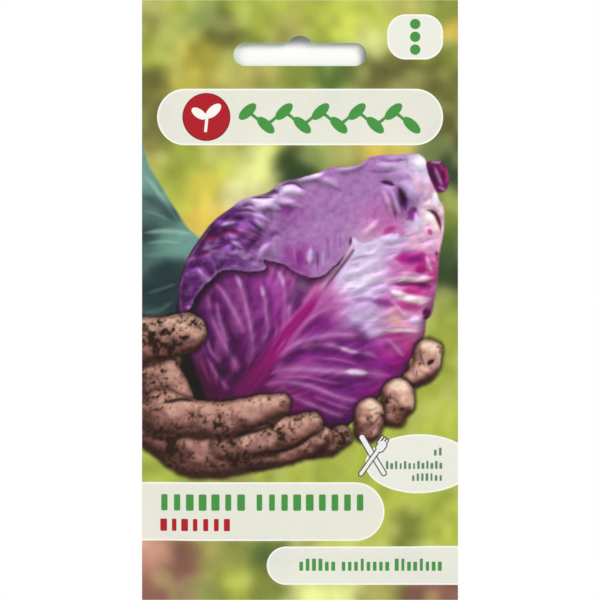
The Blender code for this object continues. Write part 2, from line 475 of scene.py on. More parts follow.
# %% Paint the garden
GARDEN = [
    (-38, 147, 5, "khaki"), (-30, 148, 5, "grass"), (-26, 145, 4, "moss"), (-20, 142, 4, "dusk"),
    (-9, 148, 5, "grass"),
    (-3, 144, 4, "khaki"), (5, 147, 5, "grass"), (12, 145, 5, "lime"), (20, 147, 5, "lime"),
    (26, 148, 4, "khaki"), (36, 149, 4, "olive"), (39, 143, 2.5, "gold"),
    (-36, 139, 6, "grass"), (-26, 137, 6, "straw"), (-15, 139, 4, "olive"), (19, 139, 4, "pale lime"),
    (29, 140, 4, "grass"), (38, 135, 4, "olive"), (-37, 130, 4, "dusk"), (-26, 131, 6, "straw"),
    (-11, 131, 5, "khaki"),
    (-1, 131, 4, "olive"), (9, 130, 5, "moss"), (18, 131, 4, "dusk"), (27, 131, 5, "dusk"),
    (37, 128, 5, "dusk"),
    (-37, 120, 5, "dusk"), (-20, 120, 8, "khaki"), (0, 121, 8, "grass"), (20, 120, 8, "khaki"),
    (38, 119, 4, "dusk"),
    (-38, 112, 4, "khaki"), (-29, 111, 5, "grass"), (-19, 110, 4, "lime"), (-10, 111, 4, "pale lime"),
    (0, 109, 4, "shade"), (4, 111, 3, "moss"), (11, 111, 3, "khaki"), (19, 113, 4, "gold"),
    (26, 113, 4, "gold"),
    (33, 112, 4, "shade"), (38, 107, 4, "shade"), (-34, 106, 4, "grass"), (-25, 104, 5, "straw"),
    (-14, 106, 4, "pale lime"), (-31, 99, 4, "lime"), (-15, 102, 4, "cream"), (-25, 95, 4, "gold"),
    (38, 98, 4, "olive"), (38, 90, 3, "moss"), (37, 82, 5, "shade"), (37, 74, 4, "olive"),
    (37, 66, 6, "grass"),
    (36, 54, 7, "grass"), (26, 43, 6, "grass"), (-37, 33, 6, "grass"), (-22, 31, 5, "olive"),
    (-4, 32, 7, "grass"),
    (10, 32, 6, "grass"), (24, 26, 4, "lime"), (34, 24, 5, "grass"), (26, 18, 4, "olive"),
    (36, 17, 5, "grass"),
    (-18, 22, 10, "khaki"), (17, 16, 5, "lime"), (-38, 12, 4, "petal"), (-30, 9, 5, "rust"),
    (-22, 10, 4, "khaki"),
    (-16, 12, 4, "olive"), (-10, 12, 4, "moss"), (-34, 3, 6, "rust"), (-21, 3, 4, "olive"),
    (-15, 4, 4, "lime"),
    (-9, 5, 4, "olive"), (-1, 2, 4, "pale lime"), (8, 2, 5, "pale lime"), (20, 2, 5, "khaki"),
    (32, 1, 5, "rust"),
]


def paint_garden():
    """Fills the whole canvas."""
    garden = patchwork(GARDEN, 0.62, 3.0, 0)
    dapple = 1 + 0.30 * (cloud(7, 41, 2) - 0.5) + 0.30 * (cloud(3.2, 47, 2) - 0.5)
    glow = smooth(0.62, 0.80, mottle(4.2, 53)) * 0.35
    lit = garden * dapple[..., None] * (1 - glow[..., None]) + INKS["pale lime"] * glow[..., None]
    ink[:] = blurred(np.clip(lit, 0, 1), 0.5)


paint_garden()
print("garden painted, mean colour", np.round(ink.mean((0, 1)) * 255))


# %% [markdown]
# ## The outer leaf
#
# At the left edge a loose blue-green leaf bends away from the head. It is one outline with bands of light
# and shade across it, where the leaf folds, and a few pale veins.

# %% Paint the outer leaf
OUTER_LEAF = [
    (-41, 113), (-37.5, 108), (-34.7, 103.5), (-31, 97.5), (-28, 93), (-24.5, 89.5), (-24, 84), (-27, 76),
    (-29, 68), (-34, 65), (-42, 64),
]
OUTER_LEAF_TONES = [
    (-38, 107, 4, "sea"), (-34, 100, 3, "sea"), (-38, 97, 4, "pine"), (-33, 95, 3, "pine"),
    (-38, 92, 3, "deep pine"),
    (-29, 92, 3, "sea"), (-34, 90, 3, "sea"), (-38, 86, 4, "pine"), (-28, 87, 4, "sea"),
    (-32, 81, 4, "deep pine"),
    (-37, 76, 4, "deep pine"), (-31, 73, 4, "deep pine"), (-38, 69, 4, "pine"),
]
# points, width, ink, strength
OUTER_LEAF_FOLDS = [
    ([(-40, 107), (-37, 104), (-33.5, 99), (-29.5, 93.5)], 1.0, "pale sea", 0.6),
    ([(-40, 101), (-36, 99.5), (-32, 96.5), (-29.5, 94)], 2.6, "deep pine", 0.55),
    ([(-40, 97.5), (-36, 96.5), (-32, 94.5)], 0.7, "sea", 0.5),
    ([(-40, 91.6), (-35, 92.2), (-30, 92), (-26, 91)], 1.1, "pale sea", 0.6),
    ([(-40, 89), (-34, 89.6), (-28, 89)], 0.6, "pale sea", 0.35),
    ([(-40, 86), (-34, 86.6), (-28, 87.4), (-25, 87.5)], 1.6, "sea", 0.5),
    ([(-40, 80.5), (-34, 82.6), (-28, 83.6), (-25, 83)], 3.4, "deep pine", 0.75),
    ([(-39, 76.4), (-34, 78), (-30, 79.4)], 0.7, "pine", 0.7),
    ([(-40, 71.5), (-35, 72.5), (-31, 75.4)], 1.0, "pine", 0.6),
]


def paint_strokes(strokes, soft, within, tips=0.3, height=None, rise=0.4):
    """Strokes, each (points, width, ink, strength). On a relief, light ones are crests, dark ones creases."""
    for points, width, name, strength in strokes:
        brush(points, width, name, strength, soft, within=within, tips=tips)
        if height is not None:
            brightness = INKS[name].mean()
            lift = smooth(0.5, 0.7, brightness) - smooth(0.4, 0.3, brightness)
            fold(height, points, min(width, 1.2), rise * strength * lift)


def paint_outer_leaf():
    """The blue-green leaf at the left edge."""
    leaf = smooth(-0.35, 0.35, inside_of(curve(OUTER_LEAF, closed=True)))
    tone = patchwork(OUTER_LEAF_TONES, 0.62, 0.8, 3)
    lay(tone * (1 + 0.22 * (cloud(2.2, 61, 3, *turned(20, 4)) - 0.5))[..., None], leaf)
    paint_strokes(OUTER_LEAF_FOLDS, 0.9, leaf)


paint_outer_leaf()
print("outer leaf painted")


# %% [markdown]
# ## The cabbage: the blade below
#
# A pointed red cabbage is wrapped in blades. The large one in front has a thick magenta rib that climbs
# from the foot and veins that fan out of it: upright ones on the left, and on the right long ones that
# sweep across, under a pale bloom where the waxy leaf catches the sky. Wrinkles could be drawn one by one,
# but light on a relief looks truer: the ridges are a height in millimetres, and its slope against the light
# gives the shade. The wrinkles run with the veins because the ridges are made in coordinates that fan out
# of the rib's foot.

# %% Paint the lower blade
CABBAGE_TOP = [
    (-30.4, 75), (-29.9, 80), (-28.4, 84.5), (-26.9, 87.5), (-23.9, 91.8), (-21.2, 95), (-16.7, 98.3),
    (-14.2, 100),
    (-8.2, 101.8), (-4.9, 104.3), (-0.7, 105.3), (4.6, 106.8), (7.4, 108), (14.1, 108.5), (17.9, 110.8),
    (24.4, 111.3),
    (29.6, 111.5), (31.6, 109.5), (33.1, 105.5), (34.6, 100.3), (35.9, 98),
]
CABBAGE = CABBAGE_TOP + [
    (35.9, 92.3), (34.9, 87), (34.4, 80.5), (33.6, 75), (32.9, 71.3), (31.6, 69.8), (30.9, 65.5),
    (27.6, 60),
    (26.6, 56.8), (20.6, 51.5), (13.6, 45), (10.6, 43), (4.6, 43), (-1.4, 45.5), (-10.4, 48), (-19.9, 48),
    (-25.4, 50.5), (-27, 57.5), (-27.9, 61), (-28.9, 67.5), (-30.9, 72),
]
RIB = [
    (-16.5, 50), (-12.5, 54.4), (-8.5, 59.4), (-3.7, 66.1), (2.3, 73), (5.4, 78.4), (8.4, 82.4), (11.2, 86),
    (13, 88.6),
]
LOWER_TONES = [
    (-25, 78, 4, "plum"), (-23, 71, 5, "plum"), (-16, 78, 4, "purple"), (-16, 70, 5, "aubergine"),
    (-9, 76, 6, "purple"),
    (-2, 80, 4, "orchid"), (4, 79, 3, "orchid"), (-24, 64, 4, "plum"), (-17, 63, 4, "plum"),
    (-10, 67, 4, "grape"), (-11, 62, 4, "beet"),
    (-3, 69, 3, "magenta"), (-24, 56, 5, "wine"), (-16, 56, 4, "plum"), (-9, 58, 4, "beet"),
    (-4, 54, 4, "beet"),
    (1, 61, 4, "grape"), (5, 69, 3, "grape"), (8, 61, 5, "grape"), (16, 61, 5, "grape"),
    (25, 60, 4, "magenta"),
    (5, 54, 5, "grape"), (14, 54, 5, "grape"), (22, 55, 4, "grape"), (3, 49, 4, "beet"),
    (11, 48, 4, "aubergine"),
    (19, 51, 3, "beet"), (10, 45, 3, "plum"), (9, 73, 3, "orchid"), (14, 70, 3, "lilac"),
    (20, 69, 3, "lilac"),
    (15, 76, 4, "lilac"), (13, 82, 4, "bloom"), (19, 82, 4, "bloom"), (16, 87, 3, "bloom"),
    (22, 88, 3, "lilac"),
    (24, 83, 3, "orchid"), (26, 75, 4, "orchid"), (31, 75, 3, "orchid"), (24, 70, 2.5, "nude"),
    (29, 69, 3, "blush"),
    (31, 83, 3, "raspberry"), (31, 88, 3, "blush"), (27, 65, 3, "raspberry"),
]
# Each vein: its points, width at its foot in millimetres, strength
LEFT_VEINS = [
    ([(-15.6, 56), (-16.1, 59), (-19, 64.2), (-22.1, 70.9), (-23.1, 77)], 1.3, 0.55),
    ([(-18, 63.7), (-20, 69.7), (-20.9, 75)], 1.2, 0.5),
    ([(-13.6, 66), (-16.1, 71.4), (-19.2, 76.9), (-21.9, 79.8)], 1.2, 0.62),
    ([(-13.4, 58), (-12, 61.3), (-12, 66.1), (-13.3, 72.6), (-14.6, 78), (-15.8, 82)], 1.3, 0.6),
    ([(-11.3, 60.9), (-9.4, 63.7), (-8.1, 67.3), (-8.5, 71), (-8.8, 75.2), (-9.8, 80)], 1.2, 0.55),
    ([(-6, 63), (-4.2, 68), (-3.8, 73), (-4, 78.4), (-5.1, 83)], 1.1, 0.5),
    ([(-2.6, 68), (-2.7, 72.6), (-1.2, 77), (0.2, 81.5)], 1.5, 0.6),
    ([(-19.5, 59), (-22.4, 62.5), (-23.6, 67.5)], 0.9, 0.4),
    ([(-17.4, 52), (-20.8, 56.4), (-23.4, 61)], 0.9, 0.4),
    ([(-10, 57), (-8, 61), (-6, 66), (-6.2, 71)], 0.8, 0.35),
]
LEFT_GLEAMS = [
    [(-16.4, 82), (-15.2, 79.4), (-14.6, 77.4)], [(-9.8, 79), (-9, 75.4)],
    [(-5.8, 82.6), (-4.6, 80.4), (-4, 78)],
]
RIGHT_VEINS = [
    ([(-4.5, 62.4), (-1.6, 66.6), (2.4, 70.4), (6.8, 72.8), (9.6, 73.4)], 1.3, 0.6),
    ([(-6.2, 60), (-2, 63.6), (2.5, 65.2), (9.7, 66.4), (16.8, 66.1)], 1.7, 0.7),
    ([(-1, 62.6), (3, 63.8), (8, 63.7), (12.1, 62.3), (17.3, 61.6), (20, 60)], 1.2, 0.7),
    ([(-8.5, 56), (-4, 57.6), (2, 57.6), (10.9, 57.1), (17, 56.8), (23, 56)], 1.8, 0.75),
    ([(-10, 53.6), (-3.5, 54.6), (3, 53.4), (9, 51), (15.5, 49.4)], 1.3, 0.6),
    ([(-2.5, 51.2), (3, 48.8), (8, 46.8), (11.5, 45.8)], 1.1, 0.5),
    ([(-5, 55.6), (1, 55.8), (7, 54.6), (12, 54)], 0.7, 0.4),
    ([(3, 60.6), (9, 60.2), (15, 58.8)], 0.6, 0.35),
    ([(3, 51), (9, 48.8), (13, 47.6)], 0.7, 0.4),
    ([(21, 66), (23.6, 63.6), (26.2, 60.6)], 1.0, 0.6),
]
# The bloom, from its upper edge down: points, width, ink, strength
BLOOM_STROKES = [
    ([(12, 84), (16, 87), (21, 88.6), (26, 88.4)], 3.0, "bloom", 0.7),
    ([(10, 80), (14, 82.4), (19, 83.4), (23, 83)], 4.0, "bloom", 0.8),
    ([(9.6, 77), (14, 79), (20, 80)], 3.0, "frost", 0.5),
    ([(11, 84), (14.5, 85.6), (19.2, 86.4)], 0.6, "mauve", 0.7),
    ([(11, 83), (14.5, 84.6), (18, 85.2)], 0.5, "frost", 0.7),
    ([(10.9, 77.4), (14.9, 78.3)], 0.5, "mauve", 0.5),
    ([(15.9, 78.1), (18, 78.6), (20.2, 78.3)], 0.8, "mauve", 0.45),
    ([(10.5, 76.2), (15, 76.9), (21, 76.4)], 1.6, "bloom", 0.7),
    ([(11.4, 75.2), (16, 75.1), (21.6, 75)], 1.1, "mauve", 0.8),
    ([(17.5, 74.6), (21, 74.4), (24, 73.4)], 2.0, "grape", 0.75),
    ([(10, 73.6), (14, 73), (20, 72.4)], 2.0, "lilac", 0.7),
    ([(11, 71.6), (15, 70.2), (20.6, 70.4)], 2.2, "bloom", 0.7),
    ([(13, 69.6), (17, 69.4), (21, 69.8)], 0.5, "mauve", 0.5),
    ([(14, 68), (18, 67.2), (22, 67.6)], 2.0, "bloom", 0.75),
    ([(3.2, 69.4), (5.6, 69.8), (8, 69.2)], 3.0, "grape", 0.7),
]
# Red-purple hollows and cream ribs at the right edge, from the top down
EDGE_FOLDS = [
    ([(23, 85.6), (27, 85.4), (33.4, 85.6)], 3.0, "magenta", 0.9),
    ([(26, 84.8), (31, 85.2)], 1.6, "grape", 0.6),
    ([(21.5, 84), (25, 83), (29, 82.6)], 1.6, "orchid", 0.7),
    ([(28.6, 83), (31.8, 82.4)], 2.2, "magenta", 0.8),
    ([(31.4, 87), (32.2, 84), (33.4, 81.4)], 0.9, "blush", 0.7),
    ([(34, 87.6), (34.6, 84.4)], 0.9, "wine", 0.7),
    ([(22.3, 80.2), (28.8, 80.2), (34.1, 80.7)], 1.5, "shell", 0.85),
    ([(24, 81.7), (28, 81.6), (31, 81)], 0.9, "blush", 0.7),
    ([(22.4, 79), (27, 78.9), (33.4, 78.7)], 1.1, "beet", 0.95),
    ([(25, 77.7), (29, 77.2), (33.4, 77.2)], 2.6, "raspberry", 0.9),
    ([(29, 78.4), (33.4, 78.2)], 1.4, "beet", 0.8), ([(27, 77), (31, 76)], 0.8, "raspberry", 0.6),
    ([(22, 78), (24, 76.6), (28.8, 75), (33.6, 75.4)], 1.9, "shell", 0.95),
    ([(22.4, 77.4), (26, 76)], 1.0, "frost", 0.7),
    ([(23.4, 74.6), (27, 73.4), (31, 72.9)], 1.9, "raspberry", 0.75),
    ([(24, 74), (26, 71.4), (28, 69.8)], 0.6, "blush", 0.7),
    ([(30.5, 72.4), (32.8, 71.4)], 2.0, "wine", 0.95), ([(30.6, 70.4), (32.6, 70.8)], 0.8, "night", 0.8),
    ([(22, 71), (24, 70), (25.4, 68.8)], 2.4, "nude", 0.7),
    ([(27, 70.6), (29.4, 69.6), (31, 68.4)], 1.8, "bloom", 0.8),
    ([(20.5, 67.3), (26, 67.4), (30.8, 67.2)], 0.9, "shell", 0.9),
    ([(21, 68.4), (26, 68.6), (30.4, 68.4)], 0.7, "blush", 0.7),
    ([(19, 65.4), (23, 66), (27, 66.2)], 1.0, "magenta", 0.7),
    ([(25.6, 65.6), (27.4, 63), (28, 61)], 2.4, "raspberry", 0.6),
]


def paint_vein(points, width, strength, within, light_side):
    """The shadow beside the vein, the lifted blade and the vein. light_side is (x, h) towards the light."""
    dx, dh = light_side
    shadow = [(x - dx, h - dh) for x, h in points]
    lifted = [(x + 0.8 * dx, h + 0.8 * dh) for x, h in points]
    brush(shadow, width * 2.2, "plum", strength * 0.6, 0.95, end=0.7, within=within)
    brush(lifted, width * 2.6, "purple", strength * 0.5, 0.95, within=within)
    brush(points, width * 1.3, "orchid", strength * 0.8, 0.95, start=1.2, end=0.8, within=within)
    brush(points, width * 0.6, "lilac", strength * 0.6, 0.95, within=within, tips=0.35)


def paint_rib(blade, distance, share, side):
    """The rib: broad and dark at the foot, magenta in the middle, thin and pink at the top."""
    half = 0.7 + 2.1 * (1 - share) ** 1.2
    low = INKS["beet"] + (INKS["magenta"] - INKS["beet"]) * smooth(0.05, 0.45, share)[..., None]
    colour = low + (INKS["blush"] - low) * smooth(0.60, 0.85, share)[..., None]
    body = (1 - smooth(half * 0.2, half * 1.6, distance)) * blade * smooth(-0.02, 0.06, share)
    signed = distance * side
    strands = mottle(1.0, 88, signed * 2.6, share * 9)
    lay(colour * (1 + 0.35 * (strands - 0.5))[..., None], body * 0.9)
    lay(INKS["orchid"], body * smooth(0.6, 0.9, strands) * 0.45 * smooth(0.15, 0.5, share))
    for offset, strength in ((1.1, 0.5), (-1.1, 0.6)):
        line = np.exp(-(((signed - offset * half) / (0.25 + 0.18 * half)) ** 2))
        lay(INKS["orchid"], line * blade * strength * smooth(0.2, 0.6, share) * (1 - smooth(0.97, 1, share)))
    beside = np.exp(-(((signed + 1.0) / 0.3) ** 2))
    lay(INKS["plum"], beside * blade * 0.5 * smooth(0.7, 0.8, share) * (share < 0.99))
    lay(INKS["frost"], np.exp(-((distance / 0.35) ** 2)) * blade * 0.6 * smooth(0.66, 0.85, share))


def paint_lower_blade():
    """Returns the cabbage's mask, which the blade above and the tip keep to."""
    depth = inside_of(curve(CABBAGE, closed=True, steps=5))
    blade = smooth(-0.25, 0.25, depth)
    distance, share, side = along(curve(RIB))
    turn, reach = np.arctan2(H - 46, X + 20), np.hypot(H - 46, X + 20)
    wrinkles = ridges(1.0, 71, 3, turn * 19, reach * 0.11)
    bloom = smooth(6, 12, X) * smooth(64, 72, H)
    calm = 1 - 0.6 * bloom
    rays = ridges(1.1, 73, 3, *turned(14, 4.5))
    lay(patchwork(LOWER_TONES, 0.85, 1.0, 9) * (1 + 0.5 * calm * (wrinkles - 0.55))[..., None], blade)
    lay(INKS["plum"], blade * smooth(-6, -20, X) * 0.35)
    left, right = blade * (side > 0), blade * (side < 0)
    height = 0.5 * calm * wrinkles * smooth(3, 12, reach) + (0.2 + 0.5 * bloom) * rays

    for points, width, strength in LEFT_VEINS:
        paint_vein(points, width, strength, left, (-0.8, 0))
    for bright in LEFT_GLEAMS:
        brush(bright, 0.9, "lilac", 0.75, 0.95, within=left, tips=0.35)
    brush([(0.3, 81), (1, 79.6), (0.4, 77)], 2.4, "lilac", 0.6, 0.9, within=left)

    for points, width, strength in RIGHT_VEINS:
        paint_vein(points, width, strength, right, (0.1, 0.8))
    paint_strokes(BLOOM_STROKES, 0.95, right, 0.4)
    paint_strokes(EDGE_FOLDS, 0.7, right, 0.3, height)
    brush([(9, 63.6), (12.1, 62.4), (15, 61.9)], 0.8, "frost", 0.5, 0.9, within=right, tips=0.35)
    brush([(10.6, 57.1), (14, 57), (17.6, 56.7)], 1.2, "frost", 0.8, 0.9, within=right, tips=0.35)
    lay(INKS["mauve"], smooth(0.55, 0.25, rays) * bloom * blade * 0.5)
    bands = cloud(2.2, 79, 3, turn * 15, reach * 0.3)
    lay(INKS["orchid"], smooth(0.52, 0.78, bands) * (1 - bloom) * blade * 0.3)
    lay(INKS["plum"], smooth(0.46, 0.24, bands) * (1 - bloom) * blade * 0.5)
    light_relief(height, blade, 0.55)
    paint_rib(blade, distance, share, side)

    lay(INKS["night"], (1 - smooth(0, 2.6, depth)) * blade * 0.5 * smooth(84, 70, H))
    return blade


cabbage = paint_lower_blade()
print(f"lower blade painted over {cabbage.mean():.0%} of the canvas")


# %% [markdown]
# ## The cabbage: the blade above
#
# A second blade comes over the shoulder and ends in a torn, wavy edge. It is smooth and dull mauve in the
# middle, and at the left and at the tip it crumples. Here the relief does the broad crumples, and drawn
# folds are laid on top where a crease has its own place.

# %% Paint the upper blade
TORN_EDGE = [
    (34.4, 96), (31, 93.6), (27, 92), (22, 91.4), (18, 90), (14.8, 89.6), (13.2, 90.6), (12.7, 88.6),
    (10.4, 85.4),
    (7.6, 82.6), (6.2, 81.4), (4.3, 80.7), (2.3, 80.7), (-0.2, 81.6), (-1.8, 82.3), (-3.6, 83.6),
    (-5.2, 84.3),
    (-7, 84.6), (-9, 85), (-8.4, 83.2), (-9.4, 82.4), (-12.5, 82.1), (-15.5, 82.3), (-18.6, 82.4),
    (-20.2, 81.8),
    (-21.8, 80.4), (-24.4, 78), (-26.2, 75.4), (-27.4, 73), (-29.4, 71),
]
UPPER_TONES = [
    (-27.5, 79, 3, "aubergine"), (-25, 82, 3, "violet"), (-24, 87, 3, "aubergine"), (-22, 90, 3, "plum"),
    (-18, 85, 4, "violet"),
    (-14, 88, 4, "violet"), (-17, 95, 4, "violet"), (-11, 84, 3, "mauve"), (-9, 89, 4, "mauve"),
    (-12, 92, 3, "violet"),
    (-9, 96, 3, "mauve"), (-10, 100, 3, "bloom"), (-3, 102.5, 3, "bloom"), (-2.5, 98, 3, "purple"),
    (-3, 92, 4, "mauve"),
    (0, 86, 3, "purple"), (6, 84, 3, "mauve"), (5, 92, 5, "mauve"), (5, 100, 5, "mauve"),
    (12, 92, 4, "mauve"),
    (13, 99, 5, "mauve"), (10, 105, 4, "mauve"), (18, 108, 4, "mauve"), (25, 109, 3, "lilac"),
    (18, 96, 3, "orchid"),
    (20, 102, 4, "mauve"), (16, 91, 3, "blush"), (23, 94, 3, "orchid"), (26, 99, 3, "aubergine"),
    (27.6, 104, 3, "lilac"),
    (30, 108, 2.5, "frost"), (30, 102, 3, "lilac"), (33, 100, 2.5, "shell"), (29, 94, 3, "bloom"),
    (33, 95, 2.5, "shell"),
]
# Along the shoulder and over the left bulge: points, width, ink, strength
SHOULDER = [
    ([(-14, 99.6), (-9, 100.3), (-3, 99.4), (2, 98)], 1.8, "bloom", 0.6),
    ([(-11, 98.7), (-7, 98.4), (-4, 97.6)], 1.4, "bloom", 0.7),
    ([(-13.8, 100.5), (-9, 100.6), (-5.4, 100.5)], 0.5, "plum", 0.85),
    ([(-6, 102.4), (-2, 102.2), (1.6, 101)], 1.8, "bloom", 0.6),
    ([(-5.8, 103.2), (-2, 104.2), (0.6, 103), (2.4, 101.9)], 0.6, "aubergine", 0.8),
    ([(2, 105.6), (6, 105), (11, 102.6)], 1.2, "lilac", 0.7),
    ([(-2, 104.9), (3, 105.6), (7, 107.2)], 1.1, "bloom", 0.8),
    ([(8, 107.4), (13, 107.9), (17.4, 110)], 0.9, "lilac", 0.7),
    ([(-4.4, 99), (-3, 97.6), (-1.4, 97.8)], 2.2, "purple", 0.75),
    ([(-17, 96.8), (-13, 97.4), (-10.6, 96.4)], 0.8, "aubergine", 0.7),
    ([(-15, 98.2), (-12.6, 98.8), (-10.6, 98)], 0.7, "plum", 0.6),
    ([(-17.6, 95), (-14, 95.8), (-10, 94.6)], 2.0, "violet", 0.5),
    ([(-20.4, 93.6), (-17.6, 94.2), (-15.2, 94.8)], 0.8, "lilac", 0.75),
    ([(-20, 95.2), (-16, 95.6), (-13, 94)], 1.4, "plum", 0.6),
    ([(-11.6, 95.4), (-9.8, 93.8), (-8.2, 92.6)], 0.8, "lilac", 0.7),
    ([(-13.2, 95.2), (-10.8, 93.2), (-8.8, 92)], 0.7, "plum", 0.65),
    ([(-14, 97), (-10.5, 96.2), (-6.6, 94.2)], 0.7, "lilac", 0.65),
    ([(-15, 92), (-12.6, 90.8), (-10, 90)], 0.6, "orchid", 0.6),
    ([(-25.6, 83.8), (-22.6, 85), (-21.2, 83), (-21.5, 80.4)], 0.7, "mauve", 0.6),
    ([(-28.8, 83.4), (-27.6, 85), (-25.4, 85.6)], 0.7, "orchid", 0.5),
    ([(-16.6, 93), (-13.4, 92), (-9.4, 90.6)], 0.7, "orchid", 0.75),
    ([(-20.4, 91.6), (-17.6, 92.2), (-14.4, 91.4)], 1.3, "wine", 0.85),
    ([(-24.4, 89.2), (-22.3, 90.6), (-19.6, 90.7)], 1.3, "wine", 0.8),
    ([(-18, 90.2), (-15.8, 89), (-13.8, 87.7)], 0.8, "lilac", 0.65),
    ([(-25, 87.4), (-22, 88.4), (-19, 88.8)], 0.9, "mauve", 0.6),
    ([(-25.4, 86.4), (-22.1, 87.1)], 0.8, "wine", 0.7),
    ([(-22.4, 84.6), (-20.8, 86.4), (-19.6, 88)], 2.0, "aubergine", 0.5),
    ([(-17.4, 88), (-16, 87.2)], 1.4, "plum", 0.5),
    ([(-11, 84.6), (-9.2, 87), (-7.6, 89.6)], 2.0, "lilac", 0.55),
    ([(-12.6, 83.4), (-9.6, 83.8)], 1.2, "mauve", 0.6),
    ([(-18, 83.3), (-14, 83.2), (-11, 83.3)], 0.9, "mauve", 0.6),
    ([(-20, 84.6), (-18.6, 83.4)], 1.2, "aubergine", 0.5),
    ([(-27.6, 84.6), (-24.6, 85.4), (-22, 83.4), (-21.6, 81)], 1.3, "violet", 0.7),
    ([(-28, 82.6), (-25.6, 83.6), (-24, 82.4)], 1.2, "plum", 0.7),
    ([(-25.2, 81.4), (-23.6, 80), (-24, 78.4)], 2.4, "mauve", 0.45),
    ([(-28.6, 79.6), (-27.2, 78), (-27.4, 75.6)], 1.2, "violet", 0.6),
    ([(-29.6, 77), (-28.8, 74), (-28.6, 72)], 1.0, "plum", 0.6),
]
# The upright streaks where the blade falls to its torn edge
STREAKS = [
    ([(2.7, 88.6), (2.5, 86), (2.2, 83.4)], 1.3, "bloom", 0.85),
    ([(4.2, 88.4), (4.4, 85), (4.4, 82)], 0.5, "aubergine", 0.6),
    ([(0.1, 88), (-0.1, 85.6), (0.1, 83)], 1.9, "grape", 0.6),
    ([(-1.4, 90), (-1.4, 87), (-1, 83.4)], 0.7, "orchid", 0.7),
    ([(-3.6, 90), (-3.2, 87), (-2.8, 84.6)], 1.6, "purple", 0.5),
    ([(5.6, 88.6), (5.8, 85.4), (5.4, 82.4)], 0.8, "lilac", 0.6),
    ([(7, 92), (7, 88), (7.2, 84.4)], 0.5, "purple", 0.5),
    ([(8.6, 93.6), (8.4, 89.6), (9, 86)], 0.6, "orchid", 0.5),
    ([(10.4, 92), (10, 89.4), (10.6, 87)], 0.5, "purple", 0.45),
    ([(6.2, 94), (6.4, 91)], 0.9, "orchid", 0.4),
    ([(-6.4, 91), (-6.6, 88), (-6.2, 85.4)], 1.2, "lilac", 0.4),
    ([(12.4, 88), (12.7, 89.4), (12.8, 91)], 0.9, "aubergine", 0.85),
    ([(14.4, 88), (17, 89), (19, 90)], 0.9, "violet", 0.6),
    ([(1.6, 90.6), (1.4, 94), (0.6, 98)], 1.4, "orchid", 0.25),
]
TIP_FOLDS = [
    ([(19.7, 104.6), (22, 104.2), (24.2, 103.4)], 1.0, "plum", 0.95),
    ([(24, 103.6), (25.5, 101.7), (26, 99), (26.6, 96.6)], 1.9, "plum", 0.95),
    ([(25, 102.4), (25.8, 100.4), (26.2, 98)], 1.0, "night", 0.9),
    ([(26.4, 97), (27.9, 96.4), (28.4, 94.4)], 3.0, "grape", 0.85),
    ([(28.6, 98.4), (28.8, 96.4)], 0.9, "aubergine", 0.7),
    ([(22.2, 99.4), (23.2, 97.2), (24.2, 95)], 0.9, "beet", 0.8),
    ([(20.2, 103), (21.4, 101), (22.4, 98.6), (23.6, 95)], 1.1, "blush", 0.6),
    ([(21.6, 103.2), (23.2, 101.6), (24.4, 98), (25.6, 95.4)], 1.0, "lilac", 0.75),
    ([(24.6, 104.6), (27.4, 102.6), (28.8, 99.4)], 2.6, "lilac", 0.85),
    ([(26, 108.4), (22, 108.6), (18, 109)], 1.2, "bloom", 0.55),
    ([(16, 107.4), (20, 107), (24, 107.2)], 0.7, "violet", 0.5),
    ([(18.6, 110.6), (22, 109.8), (27.6, 110.2)], 0.8, "violet", 0.6),
    ([(22, 105.6), (26, 106), (28.6, 105)], 1.6, "mauve", 0.7),
    ([(29.4, 110.4), (30.4, 108.8), (30.6, 107)], 2.6, "frost", 0.95),
    ([(28.6, 106.6), (29.6, 104), (30, 100.6)], 2.4, "blush", 0.85),
    ([(31.6, 106), (32.4, 103), (32, 100.4)], 1.6, "blush", 0.8),
    ([(30.6, 100.6), (32, 99.6)], 1.2, "raspberry", 0.35),
    ([(33.4, 102), (34.6, 100), (35.4, 98.2)], 2.2, "frost", 0.95),
    ([(30.8, 99), (33, 98.4), (35.4, 96.4)], 1.0, "blush", 0.8),
    ([(31, 97.8), (33.6, 96.7), (34.8, 94.2), (35.3, 91.4)], 1.0, "wine", 0.95),
    ([(30.8, 96.4), (32.4, 95.6), (33.8, 93.2), (34.4, 90.6)], 1.6, "shell", 0.9),
    ([(32, 93), (33, 91)], 1.0, "raspberry", 0.8),
    ([(28.6, 97.4), (29.6, 94), (29.8, 90.6)], 1.5, "bloom", 0.85),
    ([(20.6, 91.4), (22.4, 92.6), (24.6, 93)], 1.4, "raspberry", 0.75),
    ([(24.4, 91), (26.4, 92.4)], 1.2, "orchid", 0.7),
    ([(15.6, 90.6), (17.8, 93), (19.4, 94)], 1.3, "blush", 0.7),
    ([(17.6, 92), (19.6, 95.4)], 1.4, "blush", 0.5),
    ([(19, 90.4), (23, 90), (27, 90.6)], 1.4, "bloom", 0.6),
]


